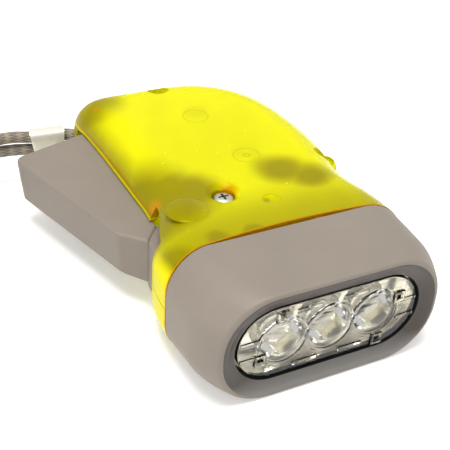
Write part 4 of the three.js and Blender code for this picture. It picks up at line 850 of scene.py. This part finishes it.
# Squeeze lever: a hollow grip moulded in grey ABS, open towards the case. Its knuckle turns on the
# pivot pin and holds the return spring, and its toothed sector reaches into the gear train.

splay, closing = radians(16.2), radians(20)
lever_offset, lever_draft, lever_start, lever_reach, lever_wall = 10.95, 0.72, 11.9, 56.12, 1.4
lip_x = -0.803 * half_width
cavity_low, cavity_high = lever_low + lever_wall, lever_high - lever_wall
knuckle_bottom, knuckle_top = lever_low - 1.2, lever_high - 0.4


def turned_about(point, angle):
    x, y = point[0] - pivot[0], point[1] - pivot[1]
    return (pivot[0] + x * cos(angle) - y * sin(angle),
            pivot[1] + x * sin(angle) + y * cos(angle))


def from_pivot(across, along, angle=splay):
    return turned_about((pivot[0] + across, pivot[1] + along), angle)


def inner_at(along):
    return from_pivot((lip_x + 1.2 - pivot[0] + along * sin(splay)) / cos(splay), along)


def shrunk(corners, inset):
    """The corners of an outline whose sides have all moved inwards."""
    made = []
    middle = np.mean(corners, axis=0)
    sides = []
    for a, b in zip(corners, corners[1:] + corners[:1]):
        a, b = np.array(a), np.array(b)
        square = np.array([a[1] - b[1], b[0] - a[0]]) / np.linalg.norm(b - a)
        square *= copysign(1, square @ (middle - a))
        sides.append((square, square @ a + inset))
    for before, after in zip(sides[-1:] + sides[:-1], sides):
        made.append(tuple(np.linalg.solve([before[0], after[0]], [before[1], after[1]])))
    return made


def rounded(corners, radii, steps=8):
    points = []
    for k, (corner, radius) in enumerate(zip(corners, radii)):
        corner = np.array(corner)
        before, after = (np.array(corners[i]) - corner for i in (k - 1, (k + 1) % len(corners)))
        a, b = (corner + way / np.linalg.norm(way) * radius for way in (before, after))
        for i in range(steps + 1):
            t = i / steps
            points.append(tuple(a * (1 - t) ** 2 + 2 * corner * t * (1 - t) + b * t * t))
    return points


def sector_ring(radius_low, radius_high, start, end, steps=24):
    outer, inner = ([from_pivot(radius, 0, start + (end - start) * k / steps) for k in range(steps + 1)]
                    for radius in (radius_high, radius_low))
    return outer + inner[::-1]


def grip_corners(level):
    """The grip's outline at one level: its outer face leans out towards the top."""
    outer = -lever_offset - lever_draft * (level - mid_z) / (lever_high - mid_z)
    return [turned_about((pivot[0] + knuckle_radius, pivot[1]), radians(165)),
            from_pivot(outer, lever_start), from_pivot(outer, lever_reach),
            inner_at(lever_reach), inner_at(knuckle_radius - 0.5)]


def grip_hollow(level):
    outer = -lever_offset - lever_draft * (level - mid_z) / (cavity_high - mid_z) + lever_wall
    front, rear = lever_start + lever_wall, lever_reach - lever_wall
    return [(*from_pivot(across, along), level) for across, along in
            ((outer, front), (outer, rear), (lever_reach, rear), (lever_reach, front))]


edge, grip_rings = 0.8, []
for side in (-1, 1):
    for k in range(7):
        angle = (k if side < 0 else 6 - k) / 6 * pi / 2
        inset, rise = edge * (1 - sin(angle)), edge * (1 - cos(angle))
        level = lever_low + rise if side < 0 else lever_high - rise
        outline = rounded(shrunk(grip_corners(level), inset), [0.3, 0.9, 3.4 - inset, 1.2, 0.3])
        grip_rings.append([(x, y, level) for x, y in outline])
grip = stack(*grip_rings)
carve(grip, stack(grip_hollow(cavity_low), grip_hollow(cavity_high)))

gear_way = atan2(gear_axis[1] - pivot[1], gear_axis[0] - pivot[0])
sector_teeth, pinion_teeth, tooth_step = 60, 12, radians(6)
module = 2 * dist(gear_axis, pivot) / (sector_teeth + pinion_teeth)
sector_pitch = sector_teeth / 2 * module
base = sector_pitch * cos(radians(25))
root, tip = sector_pitch - 1.2 * module, sector_pitch + 0.85 * module


def involute(radius):
    lean = acos(min(1, base / radius))
    return tan(lean) - lean


teeth_line = []
for k in range(7):
    middle = gear_way + (k - 1) * tooth_step
    radii = [root, max(root + (sector_pitch - root) / 2, base), sector_pitch, (sector_pitch + tip) / 2, tip]
    widest = tooth_step / 4 - 0.07 / sector_pitch + involute(sector_pitch)
    halves = [widest - involute(max(r, base)) for r in radii]
    teeth_line += [from_pivot(r, 0, middle - half) for r, half in zip(radii, halves)]
    teeth_line += [from_pivot(r, 0, middle + half) for r, half in zip(radii[::-1], halves[::-1])]
sector_last = gear_way + 5 * tooth_step
sector_low, sector_high, rim_low = 13.7, 16.5, root - 5.4
teeth_line += [from_pivot(rim_low, 0, sector_last + tooth_step - k / 20 * 8 * tooth_step)
               for k in range(21)]
fuse(grip, upright(pivot, (knuckle_radius - 0.8, knuckle_bottom),
                   (knuckle_radius - 0.25, knuckle_bottom + 0.25), (knuckle_radius, knuckle_bottom + 0.8),
                   (knuckle_radius, knuckle_top - 0.7), (knuckle_radius - 0.2, knuckle_top - 0.2),
                   (knuckle_radius - 0.7, knuckle_top), sides=96))
fuse(grip, slab(teeth_line, sector_low, sector_high))
fuse(grip, slab(sector_ring(knuckle_radius - lever_wall, rim_low + 2.7, gear_way + radians(22),
                            sector_last + 2 * tooth_step), sector_low, sector_high))
leg_way, spring_floor, above = pi / 2 + splay, 13.3, 30
carve(grip, peg(pivot, 1.6, 0, above))
carve(grip, peg(pivot, 5.05, spring_floor, above))
carve(grip, slab([from_pivot(x, y, leg_way) for x, y in ((0, -0.75), (7.4, -0.75), (7.4, 0.75), (0, 0.75))],
                 spring_floor, above))
lock_turn = atan2(lock_at[1] - pivot[1], lock_at[0] - pivot[0])
tongue_half = 1.3 * (abs(cos(lock_turn)) + abs(sin(lock_turn))) + 0.6
tongue_way = dist(lock_at, pivot)
slots = (sector_ring(tongue_way - tongue_half, tongue_way + tongue_half, lock_turn + closing / 2,
                     lock_turn + closing + tongue_half / tongue_way),
         [turned_about((lock_at[0] + x, lock_at[1] + y), closing)
          for x, y in ((-1.9, 0), (1.9, 0), (1.9, 4.9), (-1.9, 4.9))])
for outline in slots:
    carve(grip, slab(outline, 7, cavity_low + 0.3))
finished(grip, "lever_grip", "lever", hood_grey, "squeeze_lever")

# Return spring: steel wire wound four turns round the pivot pin, one leg in the lever's slot and one
# against the case.


def wire(name, line, radius, body, finish, stands_for, around=12):
    """A smooth round wire along a line, with rounded ends."""
    sides, uprights = frames_along(line)
    ways = np.cross(uprights, sides)
    rings = []
    last = len(line) - 1
    ends = {0: ((-0.9, 0.35), (-0.5, 0.85), (0, 1)), last: ((0, 1), (0.5, 0.85), (0.9, 0.35))}
    for k, centre in enumerate(line):
        for lift, width in ends.get(k, ((0, 1),)):
            middle = centre + ways[k] * lift * radius * 0.4
            rings.append([middle + radius * width * (cos(a) * sides[k] + sin(a) * uprights[k])
                          for a in np.arange(around) * 2 * pi / around])
    finished(stack(*rings), name, body, finish, stands_for, smooth=60)


def metal(name, colour, low, high, scale, stretch=(1, 1, 1)):
    """Plated or ground metal: fine marks in its gloss, drawn out along the way it was worked."""
    made = material(name, Base_Color=(*colour, 1), Metallic=1.0)
    along = pattern(made, "Mapping", Scale=stretch)
    marks = node(made, "TexNoise", Vector=(along, "Vector"), Scale=scale, Detail=5.0)
    glossed(made, marks, low, high)
    raised_by(made, marks, "Fac", 0.15, 0.00005)
    return made


spring_steel = metal("spring_steel", (0.56, 0.57, 0.58), 0.22, 0.4, 900.0)
turns, wire_radius, turn_rise = 4, 0.45, 1.35
coil_low = knuckle_top - turns * turn_rise - 0.9 + wire_radius
spring_line = [from_pivot(4.1, 0, leg_way + 2 * pi * k / 8) + (coil_low + turn_rise * k / 8,)
               for k in range(8 * turns + 1)]
spring_line.insert(0, from_pivot(7.1, 0, leg_way) + (coil_low,))
end_x, end_y = spring_line[-1][:2]
spring_line.append((end_x - 3 * sin(leg_way), end_y + 3 * cos(leg_way), knuckle_top + 1.2))
wire("spring_coil", smooth_line(spring_line, 0.5), wire_radius, "lever", spring_steel,
     "return_spring")

# Screws and pins: three pan-head screws of plated steel with a cross recess hold the halves together,
# and three ground steel pins stand in their bosses.

screw_steel = metal("screw_steel", (0.78, 0.77, 0.75), 0.25, 0.45, 1400.0)
pin_steel = metal("pin_steel", (0.6, 0.61, 0.62), 0.12, 0.3, 1200.0, (1, 1, 8))
for side, (x, y, seat) in screws.items():
    under, over = seat + 0.15, seat + 0.15 + head_height
    screw = upright((x, y), (0.2, 5.5), (shank, 6.6), (shank, under), (2.45, under),
                    (screw_head, under + 0.12), (screw_head, under + 0.7), (2.45, under + 1.0),
                    (2.05, under + 1.32), (1.5, under + 1.5), (0.8, over - 0.02), (0.3, over))
    arms = [stack(*[[(x + wide * s, y + deep * t, z) for s, t in ((-1, -1), (1, -1), (1, 1), (-1, 1))]
                    for wide, deep, z in rows])
            for rows in (((0.5, 0.22, under + 0.5), (1.65, 0.36, over + 0.3)),
                         ((0.22, 0.5, under + 0.5), (0.36, 1.65, over + 0.3)))]
    carve(screw, *arms)
    finished(screw, f"screw_{side}", "casing", screw_steel, f"case_screw_{side}", smooth=35)
    # The cross recess is painted black, as painted shade in its slots.
    screw.data.materials.append(painted_shade_black)
    for face in screw.data.polygons:
        spot = face.center / mm - Vector((x, y - body_length / 2, 0))
        if under + 0.3 < spot.z < under + 1.3 and hypot(spot.x, spot.y) < 1.7:
            face.material_index = 1
pin_low, pin_high, pin_round = case_wall, body_height - case_wall, 0.25
for name, at, radius in (("pivot_pin", pivot, 1.5), ("gear_axle", gear_axis, 1),
                         ("rotor_axle", rotor_axis, 1)):
    pin = upright(at, (radius - pin_round, pin_low), (radius, pin_low + pin_round),
                  (radius, pin_high - pin_round), (radius - pin_round, pin_high), sides=40)
    finished(pin, f"{name}_steel", "casing", pin_steel, name)

# Gears: injection-moulded nylon, matt and a little cloudy. They run dry on their axles, and the drive
# pinion's two pawl arms click over the ratchet ring inside the large wheel.


def dressed(name, finish, edge=0.1):
    """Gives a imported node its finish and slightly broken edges."""
    part = bpy.data.objects[name]
    part.data.materials.clear()
    part.data.materials.append(finish)
    part.modifiers.new("whole", "WELD").merge_threshold = 1e-6
    broken = part.modifiers.new("broken_edges", "BEVEL")
    broken.width, broken.segments, broken.limit_method = edge * mm, 2, "ANGLE"
    broken.angle_limit = radians(40)


white_nylon = moulded("white_nylon", (0.8, 0.79, 0.72), (0.7, 0.68, 0.6), 0.15, 0.42)
for name in ("drive_pinion", "large_wheel", "rotor_pinion"):
    dressed(name, white_nylon)

# Generator: a sintered ferrite ring on the rotor's hub turns between the poles of a laminated core,
# and the core runs through a bobbin wound with enamelled copper wire.


def grainy(name, colour, dark, scale, roughness, metallic=0.0, lines=None, depth=0.00008):
    """A rough or layered surface: mottled colour, and lines across it where it is wound or stacked."""
    made = material(name, Roughness=roughness, Metallic=metallic)
    marks = pattern(made, "TexNoise", Scale=scale, Detail=6.0)
    coloured(made, marks, "Fac", (0.35, dark), (0.65, colour))
    if lines:
        marks = pattern(made, "TexWave", wave_type="BANDS", bands_direction=lines[0], Scale=lines[1])
    raised_by(made, marks, "Fac", 0.6, depth)
    return made


ferrite = grainy("ferrite", (0.055, 0.055, 0.06), (0.03, 0.03, 0.034), 900.0, 0.55)
core_iron = grainy("core_iron", (0.3, 0.3, 0.31), (0.2, 0.2, 0.21), 300.0, 0.42, 0.9, ("Z", 320.0))
black_resin = moulded("black_resin", (0.028, 0.028, 0.03), (0.018, 0.018, 0.02), 0.2, 0.42)
enamelled = grainy("enamelled_wire", (0.62, 0.25, 0.1), (0.45, 0.16, 0.06), 240.0, 0.3, 0.7,
                   ("Y", 480.0), 0.0001)
magnet_low, magnet_high, magnet_radius = 14.7, 19.0, 7
magnet = upright(rotor_axis, (magnet_radius - 0.3, magnet_low), (magnet_radius, magnet_low + 0.3),
                 (magnet_radius, magnet_high - 0.3), (magnet_radius - 0.3, magnet_high), sides=96)
carve(magnet, peg(rotor_axis, 3.2, 0, above))
finished(magnet, "magnet_ring", "rotor", ferrite, "ring_magnet")
dressed("generator_core", core_iron, 0.08)
dressed("coil_bobbin", black_resin, 0.12)
dressed("coil_winding", enamelled, 0.5)

# Boards: glass-fibre board with a green solder mask and tinned tracks under it, for the lamps and
# for charging. Diodes and a capacitor are soldered to the charging board.

board_green = material("board_green", Roughness=0.32, Specular_IOR_Level=0.5)
tracks = pattern(board_green, "TexVoronoi", distance="MANHATTAN", feature="DISTANCE_TO_EDGE",
                 Scale=420.0, Randomness=0.6)
tinned = coloured(board_green, tracks, "Distance", (0, (0.012, 0.07, 0.03)), (0.22, (0.03, 0.17, 0.07)))
tinned.color_ramp.interpolation = "CONSTANT"
raised_by(board_green, tinned, "Color", 0.5, 0.00005)
dressed("lamp_board", board_green)
dressed("charge_board", board_green)
board_top, board_rear = 7.8, cell_y + 6.5


def sideways(y, z, *profile, sides=48):
    """A turned solid on an axis across the case: its profile gives radius and place."""
    return stack(*[[(x, py, pz) for py, pz in circle((y, z), radius, sides)] for radius, x in profile])


diode_black = grainy("diode_black", (0.03, 0.03, 0.032), (0.02, 0.02, 0.021), 700.0, 0.35)
diode_band = metal("diode_band", (0.7, 0.7, 0.68), 0.3, 0.5, 800.0)
for k in range(4):
    middle = cell_x - 8.1 + k * 5.4
    body = sideways(board_rear - 2.2, board_top + 1.4, *[(radius, middle + along) for radius, along in (
        (0.7, -2.1), (1.05, -1.85), (1.1, -1.6), (1.1, 0.8), (1.1, 1.4), (1.1, 1.6), (1.05, 1.85),
        (0.7, 2.1))])
    finished(body, f"diode_{k + 1}_body", "casing", diode_black, f"diode_{k + 1}")
    body.data.materials.append(diode_band)
    for face in body.data.polygons:
        if (middle + 0.75) * mm < face.center.x < (middle + 1.42) * mm and face.area < 1e-6:
            face.material_index = 1
sleeve = moulded("capacitor_sleeve", (0.02, 0.03, 0.06), (0.014, 0.02, 0.04), 0.1, 0.3)
can_x, can_y, can_top = cell_x - 8.75, cell_y - 4, board_top + 5.0
can = upright((can_x, can_y), *[(radius, board_top + rise) for radius, rise in (
    (2.2, 0.3), (2.5, 0.55), (2.5, 0.95), (2.32, 1.2), (2.5, 1.45), (2.5, 5.0), (2.3, 5.3), (1.9, 5.3),
    (1.85, 5.15))])
carve(can, *[block(can_x - wide, can_x + wide, can_y - deep, can_y + deep, can_top, 20)
             for wide, deep in ((1.5, 0.12), (0.12, 1.5))])
finished(can, "capacitor_can", "casing", sleeve, "capacitor")

# Cells: three button cells in a row, wrapped in green shrink film, which draws in where they meet. The
# stack lies across the case in a trough under the roof of the upper shell.

film = moulded("cell_film", (0.04, 0.3, 0.11), (0.03, 0.24, 0.09), 0.08, 0.25)
cell_end, cell_joint, waist = 8.1, 2.7, cell_radius - 0.22
profile = [(4.6, -cell_end), (5.4, 0.1 - cell_end), (cell_radius, 0.5 - cell_end)]
for joint in (-cell_joint, cell_joint):
    profile += [(cell_radius, joint - 0.5), (waist, joint), (cell_radius, joint + 0.5)]
profile += [(cell_radius, cell_end - 0.5), (5.4, cell_end - 0.1), (4.6, cell_end)]
cells = sideways(cell_y, cell_z, *[(radius, cell_x + along) for radius, along in profile], sides=72)
finished(cells, "cell_film_stack", "casing", film, "cell_stack")

# Switch and lever lock: moulded thumb pieces in recesses of the underside. Each has a stem through a
# slot; one works the switch, the other's tongue catches the closed lever.

dark_plastic = moulded("dark_plastic", (0.09, 0.085, 0.085), (0.065, 0.06, 0.06), 0.25, 0.45)
dressed("switch_body", black_resin, 0.12)
groove_rows = (-1.9, -0.95, 0, 0.95, 1.9)
for name, (x, y), top, rides, stands in (("power_thumb", power_at, 5.1, "power", "power_slide"),
                                         ("lock_thumb", lock_at, cavity_low + 0.3, "lock", "lever_lock")):
    thumb_rings = []
    for wide, deep, radius, z in ((4.3, 2.8, 0.9, 0.4), (4.5, 3, 1.0, 0.6), (4.5, 3, 1.0, 1.0)):
        outline = rounded([(x - wide, y - deep), (x + wide, y - deep), (x + wide, y + deep),
                           (x - wide, y + deep)], [radius] * 4, 6)
        thumb_rings.append([(*p, z) for p in outline])
    thumb = stack(*thumb_rings)
    carve(thumb, *[block(x - 3.4, x + 3.4, y + k - 0.22, y + k + 0.22, 0, 0.7) for k in groove_rows])
    fuse(thumb, block(x - 1.3, x + 1.3, y - 1.3, y + 1.3, 0.8, top))
    if rides == "lock":
        fuse(thumb, block(x - 3.7, x + 3.7, y - 3.7, y + 3.7, 3.5, 4.6))
    finished(thumb, name, rides, dark_plastic, stands)

# Leads: soft wire in black and red covers, from the coil to the charging board, from there to the
# lamps, and from the cells' ends down to the board.

black_cover = moulded("black_cover", (0.02, 0.02, 0.02), (0.012, 0.012, 0.012), 0.05, 0.35)
red_cover = moulded("red_cover", (0.5, 0.02, 0.015), (0.42, 0.015, 0.01), 0.05, 0.35)
core_x, core_z = rotor_axis[0] + 13.7, (magnet_low + magnet_high) / 2
lead_x, coil_top, lead_z = core_x + 4.1, core_z + 4.6, board_top + 0.8
lead_radius, coil_front = 0.5, rotor_axis[1] - 6
for side, name in ((-1, "a"), (1, "b")):
    route = [(lead_x + side, coil_front, coil_top), (lead_x + side, coil_front - 6.7, coil_top),
             (lead_x + side, gear_axis[1], coil_top), (core_x + side, board_rear + 10.2, cell_z),
             (core_x + side, board_rear + 1, mid_z), (core_x + side, board_rear - 0.5, lead_z + 0.5)]
    wire(f"coil_wire_{name}", smooth_line(route, 0.8), lead_radius, "casing", black_cover,
         f"generator_lead_{name}")
for side, tint, cover in ((-1, "black", black_cover), (1, "red", red_cover)):
    x = cell_x + side * 2.5
    near, far = cell_x + side * 8.9, cell_x + side * 11.4
    lamp_route = [(x, lamp_base + 2.2, mid_z), (x, seam_y, mid_z - 2.5), (x, cell_y - 4.0, lead_z + 0.5)]
    cell_route = [(near, cell_y, cell_z), (far, cell_y + 0.5, cell_z - 2.5), (far, cell_y + 1, lead_z + 2.5),
                  (far - side * 0.5, cell_y + 2, lead_z + 0.5)]
    for use, route in (("lamp", lamp_route), ("cell", cell_route)):
        wire(f"{use}_wire_{tint}", smooth_line(route, 0.8), lead_radius, "casing", cover,
             f"{use}_lead_{tint}")
